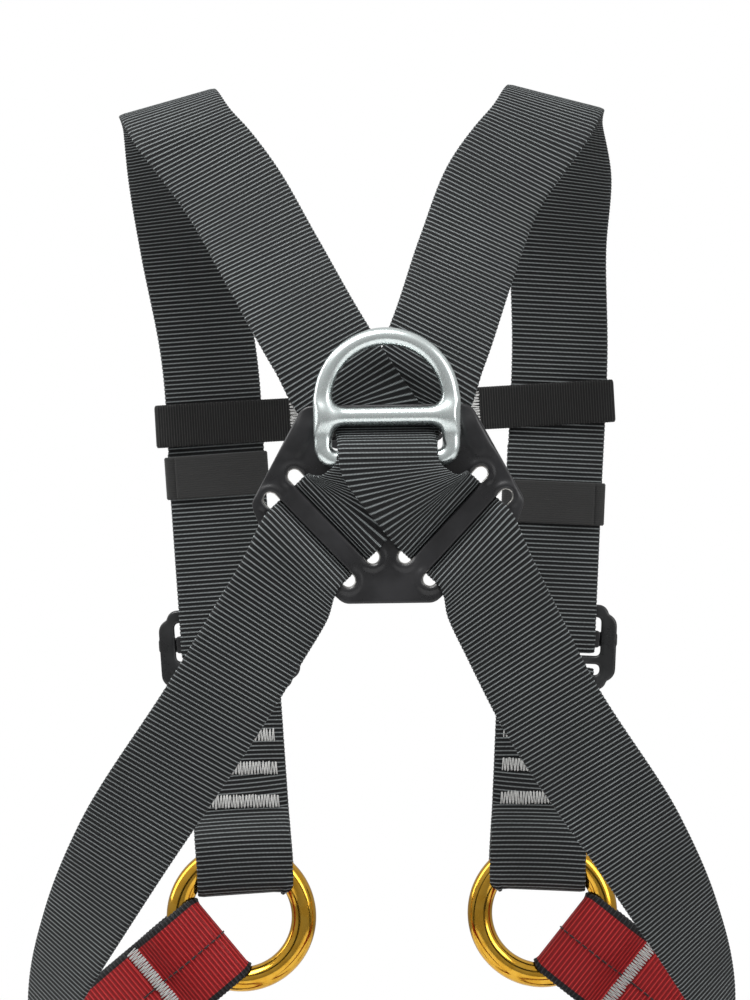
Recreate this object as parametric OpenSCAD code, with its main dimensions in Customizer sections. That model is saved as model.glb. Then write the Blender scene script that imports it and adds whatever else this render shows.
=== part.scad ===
// Full-body fall-arrest harness, worn shape, seen from the dorsal attachment.
// X to the wearer's right, Y to the wearer's front, Z up. Origin at the centre of the dorsal ring's opening.

/* [Webbing] */
// Width of the main webbing
webbing_w = 45; // [38:1:54]
// Thickness of the main webbing
webbing_t = 1.8; // [1.4:0.1:2.2]
// Width of the chest webbing
chest_w = 20; // [16:1:24]
// Thickness of the chest webbing
chest_t = 1.4; // [1.1:0.1:1.7]
// Thickness of the elastic keepers
elastic_t = 1.2; // [1:0.1:1.6]
// Height of the elastic keepers along the strap
keeper_h = 20; // [16:1:24]
// Air between two layers of webbing that lie on each other
layer_gap = 0.3; // [0.2:0.1:0.5]
// Running air between a strap and what slides on it
run_gap = 0.5; // [0.4:0.1:0.8]

/* [Dorsal plate] */
// Half width of the plate at its side corners
plate_half_w = 57; // [55:1:68]
// Half width of the plate's top edge
plate_top_half = 36; // [34:1:43]
// Half width of the plate's bottom edge
plate_bottom_half = 19.5; // [16:0.5:24]
// Height of the plate above its side corners
plate_up = 42; // [40:1:50]
// Height of the plate below its side corners
plate_down = 43.5; // [42:0.5:52]
// Thickness of the plate
plate_t = 2.2; // [1.8:0.1:2.6]
// Width of the four slanted strap slots
slot_w = 5.6; // [5.2:0.2:6.8]
// Free length of each strap slot beyond the webbing
slot_spare = 3.4; // [2.6:0.2:4.4]
// Distance between the two slots of a pair, centre to centre
slot_pitch = 14.4; // [13:0.2:17]
// Lean of the slot pairs from the horizontal
slot_lean = 46.8; // [44:0.2:50]

/* [Dorsal ring] */
// Wire diameter of the dorsal ring
dorsal_wire = 8; // [7:0.5:9.5]
// Free width inside the ring beyond the webbing
dorsal_spare = 2; // [1.6:0.2:4]
// Distance from the hinge bar to the cross bar
dorsal_bar_gap = 18.5; // [17:0.5:22]
// Distance from the cross bar to the start of the bow
dorsal_bow_gap = 6.5; // [5:0.5:8]

/* [Hip rings] */
// Outer diameter of the hip rings
hip_ring_od = 70; // [68:1:84]
// Wire diameter of the hip rings
hip_ring_wire = 11.5; // [9.5:0.5:12]

/* [Adjusters] */
// Height of an adjuster frame along the strap
adjuster_h = 40; // [38:1:48]
// Thickness of an adjuster frame
adjuster_t = 3; // [2.5:0.1:3.3]
// Width of the adjuster's side rails
adjuster_rail = 7.5; // [6:0.5:9]

/* [Chest buckle] */
// Length of the chest buckle's socket
socket_len = 30; // [26:1:36]
// Thickness of the chest buckle
buckle_t = 8.4; // [8:0.2:10]

/* [Layout] */
// Half distance between the shoulder straps at their tops
shoulder_x = 85.4; // [78:0.1:100]
// Height of the shoulder tops above the plate's centre
shoulder_z = 177; // [165:1:212]
// Depth of the shoulder tops in front of the plate
shoulder_y = 72; // [65:1:84]
// Depth of the front straps in front of the plate
front_y = 180; // [150:1:216]
// Sideways set of the shoulders against the plate
shoulder_sway = -9; // [-10:0.5:0]
// Sideways set of the hips against the plate
hip_sway = -5.5; // [-7:0.5:0]
// Tilt of the chest strap
chest_tilt = 2.5; // [0:0.5:3]
// Half distance between the hip rings
hip_ring_x = 70.4; // [66:0.1:84]
// Drop of the hip rings below the plate's centre
hip_ring_drop = 194; // [185:1:232]
// Half width of the harness at the hips
hip_x = 155; // [145:1:186]
// Drop of the leg loops below the plate's centre
leg_drop = 392; // [380:1:440]

/* [Hidden] */
$fn = 64;

// Dorsal ring, in plate coordinates
dorsal_inner = webbing_w + dorsal_spare;
dorsal_leg_x = (dorsal_inner + dorsal_wire) / 2;
dorsal_y = -plate_t / 2 - dorsal_wire / 2 - 0.9;
hinge_z = 17.5;
cross_bar_z = hinge_z + dorsal_bar_gap;
bow_z = cross_bar_z + dorsal_bow_gap;
ring_open_z = (cross_bar_z + bow_z + dorsal_leg_x) / 2;

// Strap slots
slot_len = webbing_w + slot_spare + slot_w;
slot_dir = [cos(slot_lean), 0, sin(slot_lean)];
slot_out = [sin(slot_lean), 0, -cos(slot_lean)];
slot_x = 23.5;
slot_z = -6.8;
window_half = dorsal_inner / 2 + 2.4;
window_low = 21;
window_high = 34.4;

// Front plane: layers of webbing on both faces of the adjuster frames
layer_y = adjuster_t / 2 + webbing_t / 2 + 0.6;
main_y = front_y - layer_y;
tail_y = main_y + webbing_t + layer_gap;
front_high_z = 70;
adjuster_z = -69;
chest_z = 40.2;
left_keeper_z = 12.5;
right_keeper_z = -2.3;
front_high_x = shoulder_x - 3.3;
front_low_x = hip_ring_x - 3.3;
tail_top_z = 24;
half_layer = (webbing_t + layer_gap) / 2;

// Adjuster, measured from its centre along the strap
top_rail = 6;
bar_h = 8;
upper_window = [-4, adjuster_h / 2 - top_rail];
lower_slot = [-adjuster_h / 2 + 7, -8];
window_w = webbing_w + 5;
bar_low = -0.2;
turn_z = bar_low + 1;

// Hip rings
ring_r = (hip_ring_od - hip_ring_wire) / 2;
wrap_r = hip_ring_wire / 2 + webbing_t / 2 + 0.35;
wrap_at = 18.4;
// Share of its width that a strap keeps where it is folded round a ring
fold_squeeze = 0.84;
leg_wrap_at = 19;
leg_lean = 39;
ring_at = [hip_ring_x, front_y, -hip_ring_drop];
leg_dir = [cos(leg_lean), 0, -sin(leg_lean)];
leg_across = [sin(leg_lean), 0, cos(leg_lean)];

// Offset of the main webbing's sewn end from the leg webbing's middle at the hip
hip_lap = 4.6;

// Leg buckle
leg_buckle_at = [104, front_y + 6, -leg_drop + 119];
leg_buckle_turn = 218.5;

// ---------- ribbons ----------
// A route is a list of stations, each [point, width direction]; a width direction of length 1 is full width.

function unit(v) = v / norm(v);
function chords(route, i = 0, s = 0) = i == len(route) - 1 ? [s]
    : concat([s], chords(route, i + 1, s + norm(route[i + 1][0] - route[i][0])));
function slope(route, s, i) =
    i == 0 ? (route[1] - route[0]) / (s[1] - s[0])
    : i == len(route) - 1 ? (route[i] - route[i - 1]) / (s[i] - s[i - 1])
    : let (a = s[i] - s[i - 1], b = s[i + 1] - s[i])
        ((route[i + 1] - route[i]) / b * a + (route[i] - route[i - 1]) / a * b) / (a + b);
function blend_at(p, q, mp, mq, h, t) =
    p * (2 * t * t * t - 3 * t * t + 1) + mp * h * (t * t * t - 2 * t * t + t)
    + q * (3 * t * t - 2 * t * t * t) + mq * h * (t * t * t - t * t);
function smooth(route, step) = let (s = chords(route)) concat(
    [for (i = [0:len(route) - 2]) let (h = s[i + 1] - s[i], n = max(1, ceil(h / step)),
        mp = slope(route, s, i), mq = slope(route, s, i + 1))
        for (k = [0:n - 1]) blend_at(route[i], route[i + 1], mp, mq, h, k / n)],
    [route[len(route) - 1]]);
function heading(points, i) = let (a = max(0, i - 1), b = min(len(points) - 1, i + 1))
    unit(points[b][0] - points[a][0]);
function corners(st, n, w, t) = [
    st[0] - st[1] * w / 2 - n * t / 2, st[0] + st[1] * w / 2 - n * t / 2,
    st[0] + st[1] * w / 2 + n * t / 2, st[0] - st[1] * w / 2 + n * t / 2];
function flip(route, side) = [for (st = route)
    [[st[0].x * side, st[0].y, st[0].z], [st[1].x * side, st[1].y, st[1].z]]];
// Worn, the shoulders and the hips lie a little to one side of the plate
function ramp(v) = max(0, min(1, v));
function sway(p) = let (back = ramp((136 - p.y) / 32))
    shoulder_sway * (back * ramp((p.z - 35) / 95) + (1 - back) * 0.62 * ramp((p.z - 72) / 58))
    + hip_sway * ramp((165 - p.y) / 25) * ramp((-25 - p.z) / 80);
function worn(route, side) = [for (st = flip(route, side)) [st[0] + [sway(st[0]), 0, 0], st[1]]];
function in_frame(base, turn, p) = base
    + [p.x * cos(turn) + p.z * sin(turn), p.y, p.z * cos(turn) - p.x * sin(turn)];

// Sweeps a flat strap of width w and thickness t along a route
module ribbon(route, w, t, step = 8) {
    line = smooth(route, step);
    rings = [for (i = [0:len(line) - 1])
        corners(line[i], unit(cross(heading(line, i), line[i][1])), w, t)];
    last = len(rings) - 1;
    faces = concat([[0, 1, 2, 3]], [[4 * last + 3, 4 * last + 2, 4 * last + 1, 4 * last]],
        [for (i = [0:last - 1], j = [0:3]) let (k = (j + 1) % 4, a = 4 * i, b = 4 * i + 4)
            each j < 2 ? [[a + k, a + j, b + j], [a + k, b + j, b + k]]
                : [[a + k, a + j, b + k], [a + j, b + j, b + k]]]);
    polyhedron(points = [for (r = rings) each r], faces = faces, convexity = 8);
}

// Moves plate coordinates to the origin at the dorsal ring's opening
module at_origin() { translate([0, -dorsal_y, -ring_open_z]) children(); }

// ---------- small flat shapes ----------

// Slot or bar with round ends, centred, along X
module stadium(len, w) {
    square([len - w, w], center = true);
    for (s = [-1, 1]) translate([s * (len - w) / 2, 0]) circle(d = w);
}

// Rectangle with round corners, centred
module round_rect(w, h, r) {
    square([w - 2 * r, h], center = true);
    square([w, h - 2 * r], center = true);
    for (x = [-1, 1], y = [-1, 1]) translate([x * (w / 2 - r), y * (h / 2 - r)]) circle(r = r);
}

// Stands a flat shape up in the XZ plane, centred on Y
module upright(t) { rotate([90, 0, 0]) linear_extrude(t, center = true) children(); }

// ---------- dorsal plate and ring ----------

function corner_arc(a, b, c, r) = let (u = unit(a - b), v = unit(c - b), h = acos(u * v) / 2)
    b + unit(u + v) * r / sin(h);
function corner_foot(a, b, r, h) = b + unit(a - b) * r / tan(h);

// Polygon with each corner rounded to its own radius by a true arc
module rounded_polygon(pts, radii) {
    n = len(pts);
    polygon([for (i = [0:n - 1]) let (a = pts[(i + n - 1) % n], b = pts[i], c = pts[(i + 1) % n],
        h = acos(unit(a - b) * unit(c - b)) / 2)
        each [corner_foot(a, b, radii[i], h), corner_foot(c, b, radii[i], h)]]);
    for (i = [0:n - 1])
        translate(corner_arc(pts[(i + n - 1) % n], pts[i], pts[(i + 1) % n], radii[i]))
            circle(r = radii[i]);
}

module plate_outline() {
    rounded_polygon([[-plate_top_half, plate_up - 1], [-plate_half_w - 2, -1], [-plate_half_w + 3, -14],
        [-plate_bottom_half, -plate_down - 1], [plate_bottom_half, -plate_down - 1],
        [plate_half_w - 3, -14], [plate_half_w + 2, -1], [plate_top_half, plate_up - 1]],
        [7, 5, 9, 5, 5, 9, 5, 7]);
}

module strap_slots() {
    for (side = [-1, 1], row = [0, 1]) mirror([side < 0 ? 1 : 0, 0])
        translate([slot_x + slot_out.x * slot_pitch * row, slot_z + slot_out.z * slot_pitch * row])
            rotate(slot_lean) stadium(slot_len, slot_w);
}

module top_window() {
    translate([0, (window_low + window_high) / 2])
        round_rect(2 * window_half, window_high - window_low, 4);
}

module dorsal_plate() color("#1b1c1e") at_origin() {
    upright(plate_t) difference() {
        plate_outline();
        strap_slots();
        top_window();
    }
}

module dorsal_ring() color("#c3c9cb") at_origin() translate([0, dorsal_y, 0]) {
    corner_r = dorsal_wire / 2 + 2;
    translate([0, 0, bow_z]) rotate([90, 0, 0])
        rotate_extrude(angle = 180) translate([dorsal_leg_x, 0]) circle(d = dorsal_wire);
    for (s = [-1, 1]) {
        translate([s * dorsal_leg_x, 0, hinge_z + corner_r])
            cylinder(h = bow_z - hinge_z - corner_r, d = dorsal_wire);
        translate([s * (dorsal_leg_x - corner_r), 0, hinge_z + corner_r])
            rotate([90, s < 0 ? 180 : 90, 0])
                rotate_extrude(angle = 90) translate([corner_r, 0]) circle(d = dorsal_wire);
    }
    translate([corner_r - dorsal_leg_x, 0, hinge_z]) rotate([0, 90, 0])
        cylinder(h = 2 * (dorsal_leg_x - corner_r), d = dorsal_wire);
    translate([-dorsal_leg_x, 0, cross_bar_z]) rotate([0, 90, 0])
        cylinder(h = 2 * dorsal_leg_x, d = dorsal_wire);
}

// ---------- main webbing ----------

function front_x(z) = -(front_high_x - (front_high_x - front_low_x)
    * (front_high_z - z) / (front_high_z + hip_ring_drop));
front_lean = atan((front_high_x - front_low_x) / (front_high_z + hip_ring_drop));
front_across = [cos(front_lean), 0, sin(front_lean)];

// Stations of the turn round an adjuster's floating bar, outer layer to body layer
function bar_turn(base, turn, across) = [for (a = [0:30:180])
    [in_frame(base, turn, [0, layer_y * cos(a), turn_z - layer_y * sin(a)]), across]];

// In through the upper slot, behind the bar, and out through the lower slot
function slot_weave(centre) = let (d = plate_t / 2 + webbing_t / 2 + 0.6) [for (p = [
    [-3.6, -d], [-1, -1.15], [1, 1.15], [3.6, d], [slot_pitch / 2, d + 0.1],
    [slot_pitch - 3.6, d], [slot_pitch - 1, 1.15], [slot_pitch + 1, -1.15], [slot_pitch + 3.8, -d]])
    [centre + slot_out * p[0] + [0, p[1], 0], slot_dir]];

// Own shoulder at -X, other hip at +X; lift keeps the upper strap clear of the lower one
function main_route(lift) = let (
    bar_front = dorsal_y - dorsal_wire / 2 - webbing_t / 2 - 0.5,
    over = function(x, y, z, lean, across) [[x, y - lift * cos(lean), z + lift * sin(lean)], across],
    gathered = [(dorsal_inner - 4.2) / webbing_w, 0, 0],
    adjuster = [front_x(adjuster_z), front_y, adjuster_z],
    seat = [slot_x - 0.8, 0, slot_z - 0.9])
concat(
    [[[front_x(tail_top_z), tail_y, tail_top_z], front_across],
     [[front_x(-22), tail_y, -22], front_across],
     [[front_x(-34), tail_y + 0.4, -34], front_across],
     [[front_x(-46), front_y + layer_y, -46], front_across],
     [[front_x(-54), front_y + layer_y, -54], front_across]],
    bar_turn(adjuster, -front_lean, front_across),
    [[[front_x(-52), main_y, -52], front_across],
     [[front_x(0), main_y, 0], front_across],
     [[front_x(front_high_z), main_y, front_high_z], front_across],
     [[-0.2 - shoulder_x, front_y - 16, shoulder_z - 62], unit([1, 0, 0.08])],
     [[-3.2 - shoulder_x, front_y - 44, shoulder_z - 26], unit([1, 0, 0.16])],
     [[-1.4 - shoulder_x, (front_y + shoulder_y) / 2 - 16, shoulder_z - 4], unit([1, 0, 0.24])],
     [[0.4 - shoulder_x, shoulder_y, shoulder_z - 1], unit([1, 0, 0.3])],
     [[7 - shoulder_x, shoulder_y - 12, shoulder_z - 12], unit([1, 0.03, 0.4])],
     [[15 - shoulder_x, shoulder_y - 17, shoulder_z - 22], unit([0.92, 0.02, 0.46])],
     [[26.5 - shoulder_x, shoulder_y - 25, shoulder_z - 38], unit([0.88, 0, 0.46])],
     [[42.9 - shoulder_x, 29 - lift, shoulder_z - 72], unit([0.91, 0.02, 0.42])],
     over(-25.5, 11 - lift / 2, 67, 0, unit([0.88, 0, 0.46])),
     over(-14.6, 7.4 - lift / 2, 46, 0, unit([0.86, 0, 0.46])),
     over(-7, 6.9 - lift / 2, 39, 4, [0.95, 0, 0.12]),
     over(-3.4, 6.2 - lift / 2, 35, 12, gathered),
     over(-1.8, 2.4, 30.8, 45, gathered),
     over(-0.9, -1.5, 27.6, 45, gathered),
     over(-0.4, dorsal_y + 0.5, 25.2, 42, gathered),
     over(0, bar_front + 1.9, hinge_z + 5, 35, gathered),
     over(0.3, bar_front, hinge_z + 1.6, 8, gathered),
     over(1, bar_front - 0.1 * lift, hinge_z - 2.7, 0, [0.96, 0, 0.03]),
     over(3.8, bar_front + 0.6 - 0.4 * lift, 10, 0, [0.97, -0.01 * lift, 0.12]),
     over(8.2, -9.2 - 0.9 * lift, 5.2, 0, [0.93, -0.03 * lift, 0.24]),
     [seat - slot_out * 11.5 + [0, -5.3 - 2.9 * lift, 0], [0.84, -0.065 * lift, 0.48]]],
    slot_weave(seat),
    [[[slot_x + 20.4, -2.6, -38], unit([0.78, 0, 0.58])],
     [[slot_x + 30.2, 1.5, -56], unit([0.83, 0.04, 0.54])],
     [[slot_x + 47, 8, -86], unit([0.86, 0.08, 0.5])],
     [[hip_x - 41.4, 30, -152], unit([0.8, 0.28, 0.5])],
     [[hip_x - 20.5, 52, -190], unit([0.62, 0.58, 0.46])],
     [[hip_x - 5, 76, -226], unit([0.38, 0.86, 0.3])],
     [[hip_x + hip_lap - 0.6, 89, -254], [0, 1, 0]],
     [[hip_x + hip_lap, 92, -268], [0, 1, 0]],
     [[hip_x + hip_lap, 94.5, -283], [0, 1, 0]],
     [[hip_x + hip_lap, 98, -306], [0, 1, 0]]]);

module main_webbing(side, lift) color("#2a2c2f") at_origin()
    ribbon(worn(main_route(lift), side), webbing_w, webbing_t);

module left_main_webbing() main_webbing(1, webbing_t + layer_gap);
module right_main_webbing() main_webbing(-1, 0);

// ---------- front straps ----------

// A loop through the adjuster's lower slot and round the hip ring, ends lapped and sewn
function front_loop() = let (
    rail_z = adjuster_z + lower_slot[0], wrap_z = -hip_ring_drop + wrap_at,
    outer = function(z, d) [[front_x(z), front_y + d, z], front_across],
    fold_x = -0.3 - hip_ring_x,
    lap = [[-112, half_layer], [-146, half_layer], [-155, wrap_r]])
concat(
    [outer(-111.7, half_layer)],
    [for (z = [-103, rail_z - 6]) outer(z, z < -100 ? half_layer : layer_y)],
    [for (a = [0:30:180]) outer(rail_z - 0.4 + layer_y * sin(a), layer_y * cos(a))],
    [outer(rail_z - 6, -layer_y), outer(-103, -half_layer)],
    [for (p = lap) outer(p[0], -p[1])],
    [for (a = [180:30:360]) [[fold_x, front_y + wrap_r * cos(a), wrap_z + wrap_r * sin(a)],
        front_across * fold_squeeze]],
    [outer(-155, wrap_r), outer(-146, half_layer), outer(-112.3, half_layer)]);

module front_strap(side) color("#2a2c2f") at_origin()
    ribbon(flip(front_loop(), side), webbing_w, webbing_t, 9);
module left_front_strap() front_strap(1);
module right_front_strap() front_strap(-1);

// Three dense zigzag bar tacks through both layers, as raised pads on the two faces
module front_bar_tacks(side) color("#d8d8d6") at_origin()
    for (z = [-109, -124.5, -140], face = [-1, 1])
        translate([side * front_x(z), front_y + face * (half_layer + webbing_t / 2 + 0.45), z])
            upright(0.8) round_rect(webbing_w - 8, 5, 1);
module left_front_bar_tacks() front_bar_tacks(1);
module right_front_bar_tacks() front_bar_tacks(-1);

// ---------- adjusters ----------

module adjuster_frame_shape() {
    outer_w = window_w + 2 * adjuster_rail;
    upright(adjuster_t) difference() {
        union() {
            round_rect(outer_w, adjuster_h - 8, 6);
            round_rect(outer_w - 8, adjuster_h, 5);
        }
        translate([0, (upper_window[0] + upper_window[1]) / 2])
            round_rect(window_w, upper_window[1] - upper_window[0], 2);
        translate([0, (lower_slot[0] + lower_slot[1]) / 2])
            round_rect(window_w, lower_slot[1] - lower_slot[0], 2);
    }
}

module adjuster_bar_shape() {
    end_x = webbing_w / 2 + 1;
    inner_x = window_w / 2 - 0.35;
    tab_y = adjuster_t / 2 + 0.3;
    upright(adjuster_t) translate([0, bar_low + bar_h / 2]) round_rect(2 * inner_x, bar_h, 1.4);
    for (s = [-1, 1]) {
        translate([s * (end_x + inner_x) / 2, tab_y / 2 + 0.5, bar_low + bar_h / 2])
            cube([inner_x - end_x, tab_y + 2, bar_h - 2], center = true);
        translate([s * (end_x + adjuster_rail / 2 + 1), tab_y + 0.9, bar_low + bar_h / 2])
            upright(1.8) round_rect(adjuster_rail + 2, bar_h - 1, 1.5);
    }
}

module at_adjuster(side) at_origin()
    translate([side * front_x(adjuster_z), front_y, adjuster_z]) rotate([0, -side * front_lean, 0])
        children();
module left_adjuster_frame() color("#202124") at_adjuster(1) adjuster_frame_shape();
module right_adjuster_frame() color("#202124") at_adjuster(-1) adjuster_frame_shape();
module left_adjuster_bar() color("#2c2d30") at_adjuster(1) adjuster_bar_shape();
module right_adjuster_bar() color("#2c2d30") at_adjuster(-1) adjuster_bar_shape();

// ---------- elastic keepers ----------

// A flat band round a strap and its free tail; low and high are the faces it clears
module keeper_band(low, high) {
    w = webbing_w + 2 * run_gap;
    d = high - low + 2 * run_gap;
    linear_extrude(keeper_h, center = true) difference() {
        translate([0, (low + high) / 2]) round_rect(w + 2 * elastic_t, d + 2 * elastic_t, 1.8);
        translate([0, (low + high) / 2]) round_rect(w, d, 0.6);
    }
}

module strap_keeper(side, z) color("#161617") at_origin()
    translate([side * front_x(z), 0, z]) rotate([0, -side * front_lean, 0])
        keeper_band(main_y - webbing_t / 2, tail_y + webbing_t / 2);
module left_strap_keeper() strap_keeper(1, left_keeper_z);
module right_strap_keeper() strap_keeper(-1, right_keeper_z);

// ---------- hip rings ----------

module hip_ring(side) color("#d9951c") at_origin()
    translate([side * ring_at.x, ring_at.y, ring_at.z]) rotate([90, 0, 0])
        rotate_extrude() translate([ring_r, 0]) circle(d = hip_ring_wire);
module left_hip_ring() hip_ring(-1);
module right_hip_ring() hip_ring(1);

// ---------- chest strap ----------

chest_low_y = main_y - webbing_t / 2 - run_gap - chest_t / 2;
chest_high_y = tail_y + webbing_t / 2 + run_gap + chest_t / 2;
chest_mid_y = (chest_low_y + chest_high_y) / 2;
chest_turn = (chest_high_y - chest_low_y) / 2;
chest_turn_x = 2;
chest_lap = chest_t + layer_gap;
buckle_y = chest_mid_y;
buckle_bar_x = 24;
buckle_bar_r = 1.7;
chest_bar_turn = buckle_bar_r + chest_t / 2 + 0.3;

// Lapped loop round one front strap, then on to the buckle's bar and back a little way
function chest_route(bar_x) = let (cx = front_x(chest_z), up = [0, 0, 1],
    edge = cx - webbing_w / 2 - run_gap - 1.4, near = cx + webbing_w / 2 + 2)
concat(
    [for (p = [[near + 19, chest_mid_y - chest_lap], [near + 8, chest_mid_y - chest_lap - 0.4],
        [near - 1, chest_low_y], [cx, chest_low_y]]) [[p[0], p[1], chest_z], up]],
    [for (a = [270:-30:90]) [[edge + chest_turn_x * cos(a), chest_mid_y + chest_turn * sin(a), chest_z], up]],
    [for (p = [[cx, chest_high_y], [near - 1, chest_high_y], [near + 9, chest_mid_y + 0.5],
        [near + 20, chest_mid_y], [bar_x - 7, chest_mid_y - 0.5], [bar_x - 3, chest_mid_y - chest_bar_turn + 0.2]])
        [[p[0], p[1], chest_z], up]],
    [for (a = [-90:30:90]) [[bar_x + chest_bar_turn * cos(a), buckle_y + chest_bar_turn * sin(a), chest_z], up]],
    [for (p = [[bar_x - 4, buckle_y + chest_bar_turn], [bar_x - 8.5, chest_mid_y + chest_lap - 0.2],
        [bar_x - 22, chest_mid_y + chest_lap]]) [[p[0], p[1], chest_z], up]]);

// The chest strap and its buckle, tilted together about the middle of the chest
module at_chest() at_origin() translate([0, 0, chest_z]) rotate([0, -chest_tilt, 0])
    translate([0, 0, -chest_z]) children();

module chest_webbing(side) color("#232426") at_chest()
    ribbon(flip(chest_route(-buckle_bar_x), side), chest_w, chest_t);
module left_chest_webbing() chest_webbing(1);
module right_chest_webbing() chest_webbing(-1);

module chest_bar_tack(side) color("#dadad8") at_chest()
    translate([side * (front_x(chest_z) + webbing_w / 2 + 16),
        chest_mid_y - chest_lap - chest_t / 2 - 0.75, chest_z])
        upright(0.8) round_rect(5, chest_w - 4, 1);
module left_chest_bar_tack() chest_bar_tack(1);
module right_chest_bar_tack() chest_bar_tack(-1);

socket_h = chest_w + 10;
pocket_h = chest_w + 4;
pocket_t = buckle_t - 3;
socket_low = -socket_len + 3;
socket_high = 3;
prong_z = 8;
prong_tip = -9;
prong_root = 6.5;

module at_buckle() at_chest() translate([0, buckle_y, chest_z]) children();
module chest_buckle_socket() color("#19191a") at_buckle() rotate([90, 0, 0]) {
    difference() {
        translate([(socket_low + socket_high) / 2, 0]) linear_extrude(buckle_t, center = true)
            round_rect(socket_high - socket_low, socket_h, 4);
        translate([prong_tip - 2.5, -pocket_h / 2, -pocket_t / 2])
            cube([socket_high - prong_tip + 3, pocket_h, pocket_t]);
        for (s = [-1, 1]) translate([prong_tip - 1, s * socket_h / 2 - 4, -pocket_t / 2])
            cube([8, 8, pocket_t]);
        translate([-buckle_bar_x - 4, -chest_w / 2 - 1, -buckle_t]) cube([10, chest_w + 2, 2 * buckle_t]);
    }
    translate([-buckle_bar_x, 0, 0]) rotate([90, 0, 0]) cylinder(h = chest_w + 3, r = buckle_bar_r, center = true);
}

module chest_buckle_plug() color("#1d1d1f") at_buckle() rotate([90, 0, 0]) {
    plug_low = socket_high + 0.6;
    plug_high = buckle_bar_x + 3;
    difference() {
        translate([(plug_low + plug_high) / 2, 0]) linear_extrude(buckle_t - 1, center = true)
            round_rect(plug_high - plug_low, socket_h - 2, 4);
        translate([buckle_bar_x - 6, -chest_w / 2 - 1, -buckle_t]) cube([10, chest_w + 2, 2 * buckle_t]);
        for (s = [-1, 1]) {
            translate([prong_root, s * prong_z, 0]) cylinder(h = pocket_t + 0.2, r = 2.05, center = true);
            translate([plug_low - 1, s * prong_z - 2, -pocket_t / 2 - 0.1])
                cube([prong_root - plug_low + 1, 4, pocket_t + 0.2]);
        }
    }
    translate([buckle_bar_x, 0, 0]) rotate([90, 0, 0]) cylinder(h = chest_w + 3, r = buckle_bar_r, center = true);
    translate([prong_tip + 1, -2.5, -pocket_t / 2 + 0.5]) cube([plug_low - prong_tip + 2, 5, pocket_t - 1]);
}

// A sprung arm with a thumb pad that stands in the socket's side window
module prong(side) color("#1d1d1f") at_buckle() rotate([90, 0, 0]) {
    t = pocket_t - 0.6;
    translate([prong_root, side * prong_z, 0]) cylinder(h = t, r = 2, center = true);
    translate([prong_tip + 1, side * prong_z - 1.5, -t / 2]) cube([prong_root - prong_tip - 1, 3, t]);
    linear_extrude(t, center = true) polygon([[prong_tip + 0.5, side * (prong_z - 1.5)],
        [prong_tip + 0.5, side * (socket_h / 2 - 1)], [prong_tip + 2, side * (socket_h / 2)],
        [prong_tip + 6.4, side * (prong_z + 3)], [prong_tip + 6.4, side * (prong_z - 1.5)]]);
}
module upper_prong() prong(1);
module lower_prong() prong(-1);

// ---------- leg loops ----------

function ring_out(e, d) = ring_at + leg_dir * e + [0, d, 0];

// From its lapped end round the hip ring, round the thigh, through the buckle and back as a tail
function leg_route() = concat(
    [for (p = [[86, half_layer - 7], [66, half_layer - 1.8], [46.5, half_layer], [37, wrap_r]])
        [ring_out(p[0], p[1]), leg_across]],
    [for (a = [0:30:180]) [ring_out(leg_wrap_at - wrap_r * sin(a), wrap_r * cos(a)), leg_across * fold_squeeze]],
    [[ring_out(37, -wrap_r), leg_across], [ring_out(46.5, -half_layer), leg_across],
     [ring_out(66, -half_layer - 1.8), leg_across],
     [ring_out(86, -half_layer - 8.2), unit([0.6, -0.12, 0.78])],
     [[hip_x - 10, 138, -262], unit([0.42, -0.38, 0.82])],
     [[hip_x - 0.5, 100, -284], unit([0.04, -0.46, 0.88])],
     [[hip_x - 6, 58, -leg_drop + 84], unit([-0.2, -0.44, 0.86])],
     [[hip_x - 30, 24, -leg_drop + 56], unit([-0.4, -0.32, 0.84])],
     [[90, 8, -leg_drop + 32], unit([-0.5, -0.15, 0.84])],
     [[54, 22, -leg_drop + 12], unit([-0.42, 0.1, 0.9])],
     [[30, 60, -leg_drop], unit([-0.14, 0.14, 0.98])],
     [[24, 105, -leg_drop + 4], unit([-0.1, -0.18, 0.98])],
     [[36, 150, -leg_drop + 28], unit([-0.3, -0.45, 0.84])],
     [near_buckle(-layer_y - 2, 78), unit([-0.72, -0.08, 0.68])],
     [near_buckle(-layer_y, 63), leg_buckle_across], [near_buckle(-layer_y, 17), leg_buckle_across]],
    [for (a = [180:-30:0]) [in_frame(leg_buckle_at, leg_buckle_turn,
        [0, layer_y * cos(a), turn_z - layer_y * sin(a)]), leg_buckle_across]],
    [[near_buckle(layer_y, 15), leg_buckle_across], [near_buckle(layer_y, 22), leg_buckle_across],
     [near_buckle(leg_tail_y + 0.4, 32), leg_buckle_across], [near_buckle(leg_tail_y, 42), leg_buckle_across],
     [near_buckle(leg_tail_y, 66), leg_buckle_across]]);
function near_buckle(y, z) = in_frame(leg_buckle_at, leg_buckle_turn, [0, y, z]);
leg_tail_y = -layer_y + webbing_t + layer_gap;
leg_buckle_across = [-cos(leg_buckle_turn - 180), 0, sin(leg_buckle_turn - 180)];

module leg_webbing(side) color("#b3201f") at_origin()
    ribbon(worn(leg_route(), side), webbing_w, webbing_t);
module left_leg_webbing() leg_webbing(-1);
module right_leg_webbing() leg_webbing(1);

module leg_bar_tack(side) color("#dcdcda") at_origin()
    for (face = [-1, 1]) mirror([side < 0 ? 1 : 0, 0, 0])
        translate(ring_out(49.7, face * (half_layer + webbing_t / 2 + 0.9)))
            rotate([0, leg_lean, 0]) upright(0.8) round_rect(5, webbing_w - 4, 1);
module left_leg_bar_tack() leg_bar_tack(-1);
module right_leg_bar_tack() leg_bar_tack(1);

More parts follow.
